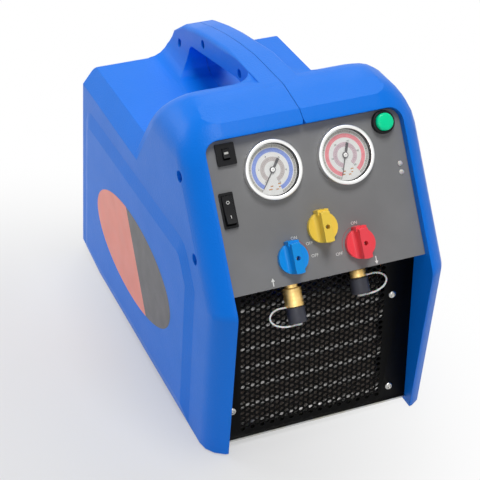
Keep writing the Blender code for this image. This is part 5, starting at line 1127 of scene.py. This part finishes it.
class BuildBase(bpy.types.Operator):
    """Finish the base plate, the feet, the rear vent and the mains inlet"""
    bl_idname = "recovery.build_base"
    bl_label = "Base and rear"

    def execute(self, context):
        from_node("base_plate", "zinc_plated_steel")
        for end in ("front", "rear"):
            for side in ("left", "right"):
                from_node(f"{end}_{side}_foot", "black_rubber", radius=0.0005)
        from_node("rear_vent", "black_powder_coat", radius=0.0003)
        from_node("power_inlet", "black_abs", radius=0.0003)
        return {"FINISHED"}


class SetStage(bpy.types.Operator):
    """Set the floor, the lights, the white background and the camera"""
    bl_idname = "recovery.set_stage"
    bl_label = "Stage"

    def execute(self, context):
        scene = context.scene
        settings = scene.recovery_stage
        scene.view_settings.view_transform = "Standard"
        self.floor(settings)
        self.sky(scene)
        self.lamp("key_light", settings.key, 1.3, (0.05, -0.75, 3.00))
        self.lamp("side_light", settings.side, 1.4, (-1.85, 1.85, 1.45))
        self.lamp("front_light", settings.fill, 1.0, (-0.75, -2.40, 1.50))
        self.lamp("rear_light", settings.rear, 1.6, (0.95, 1.85, 2.55))
        view = bpy.data.cameras.new("camera")
        view.lens = settings.lens
        view.sensor_width = 36.0
        camera = shown("camera", view)
        camera.location = (-0.53003, -1.29183, 1.00334)
        camera.rotation_euler = (radians(57.45), 0.0, radians(-21.99))
        scene.camera = camera
        return {"FINISHED"}

    def seen(self, tree):
        """1 for a ray from the camera, off a shiny surface or through glass, and 0 for light on a piece."""
        rays = add(tree, "LightPath")
        seen = rays.outputs["Is Camera Ray"]
        for other in ("Is Glossy Ray", "Is Transmission Ray"):
            seen = add(tree, "Math", {0: seen, 1: rays.outputs[other]}, operation="MAXIMUM").outputs[0]
        return seen

    def floor(self, settings):
        """Pale floor that keeps the machine's shadow, with a painted shadow of grey beside the machine, and
        fades to the white background.
        """
        material = bpy.data.materials.new("floor_with_painted_shadow")
        tree = blank(material)
        painted = add(tree, "BsdfDiffuse", {"Color": settings.floor})
        painted_shadow_middle = (-0.31, -0.08, 0.0)   # middle of the painted shadow on the ground
        least = 0.40                   # share of white there, where the white is dimmed to a grey of 0.68 as painted shadow
        where = add(tree, "TexCoord")
        away = add(tree, "VectorMath", {0: where.outputs["Object"], 1: painted_shadow_middle}, operation="DISTANCE")
        fade = add(tree, "MapRange", {"Value": away.outputs["Value"], "From Min": 0.06, "From Max": 0.56,
                                      "To Min": least, "To Max": 1.0}, interpolation_type="SMOOTHSTEP")
        # Painted shadow: the white that the camera sees is dimmed to grey near the machine
        pale = add(tree, "MapRange", {"Value": fade.outputs[0], "From Min": least, "To Min": 0.68})
        white = add(tree, "Emission", {"Strength": pale.outputs[0]})
        share = add(tree, "Math", {0: self.seen(tree), 1: fade.outputs[0]}, operation="MULTIPLY")
        mix = add(tree, "MixShader", {0: share.outputs[0], 1: painted.outputs[0], 2: white.outputs[0]})
        add(tree, "OutputMaterial", {"Surface": mix.outputs[0]})
        bm = bmesh.new()
        bmesh.ops.create_grid(bm, x_segments=1, y_segments=1, size=6.0)
        mesh = bpy.data.meshes.new("floor")
        bm.to_mesh(mesh)
        bm.free()
        mesh.materials.append(material)
        shown("floor", mesh)

    def sky(self, scene):
        """Soft grey light all round, seen as plain white."""
        scene.world = bpy.data.worlds.new("studio")
        tree = blank(scene.world)
        soft = add(tree, "Background", {"Color": (1.0, 1.0, 1.0, 1.0), "Strength": 0.13})
        white = add(tree, "Background", {"Color": (1.0, 1.0, 1.0, 1.0), "Strength": 1.0})
        mix = add(tree, "MixShader", {0: self.seen(tree), 1: soft.outputs[0], 2: white.outputs[0]})
        add(tree, "OutputWorld", {"Surface": mix.outputs[0]})

    def lamp(self, name, power, size, place):
        """Round area light aimed at the middle of the machine."""
        data = bpy.data.lights.new(name, "AREA")
        data.energy = power
        data.shape = "DISK"
        data.size = size
        light = shown(name, data)
        light.location = place
        middle = Vector((0.0, 0.0, 0.15))
        aim = middle - Vector(place)
        light.rotation_euler = aim.to_track_quat("-Z", "Y").to_euler()


BUILD_ORDER = (MixFinishes, BuildHousing, AddScrews, BuildPanel, BuildGauges, BuildValves, BuildSwitches,
               BuildPorts, BuildFrontSheet, BuildCoil, BuildDrive, BuildBase, SetStage)
SETTINGS = {"recovery_housing": HousingSettings, "recovery_label": LabelSettings,
            "recovery_panel": PanelSettings, "recovery_gauges": GaugeSettings,
            "recovery_knobs": KnobSettings, "recovery_sheet": SheetSettings,
            "recovery_coil": CoilSettings, "recovery_stage": StageSettings}


class RecoveryPanel(bpy.types.Panel):
    """Lists the steps and their settings"""
    bl_idname = "VIEW3D_PT_recovery"
    bl_label = "Recovery machine"
    bl_space_type = "VIEW_3D"
    bl_region_type = "UI"
    bl_category = "Recovery"

    def draw(self, context):
        for name, group in SETTINGS.items():
            box = self.layout.box()
            for prop in group.__annotations__:
                box.prop(getattr(context.scene, name), prop)
        for step in BUILD_ORDER:
            self.layout.operator(step.bl_idname)


def register():
    for group in (*SETTINGS.values(), *BUILD_ORDER, RecoveryPanel):
        bpy.utils.register_class(group)
    for name, group in SETTINGS.items():
        setattr(bpy.types.Scene, name, PointerProperty(type=group))


def unregister():
    for name in SETTINGS:
        delattr(bpy.types.Scene, name)
    for group in (*SETTINGS.values(), *BUILD_ORDER, RecoveryPanel):
        bpy.utils.unregister_class(group)


def main():
    register()
    for step in BUILD_ORDER:
        group, name = step.bl_idname.split(".")
        getattr(getattr(bpy.ops, group), name)()


if __name__ == "__main__":
    main()
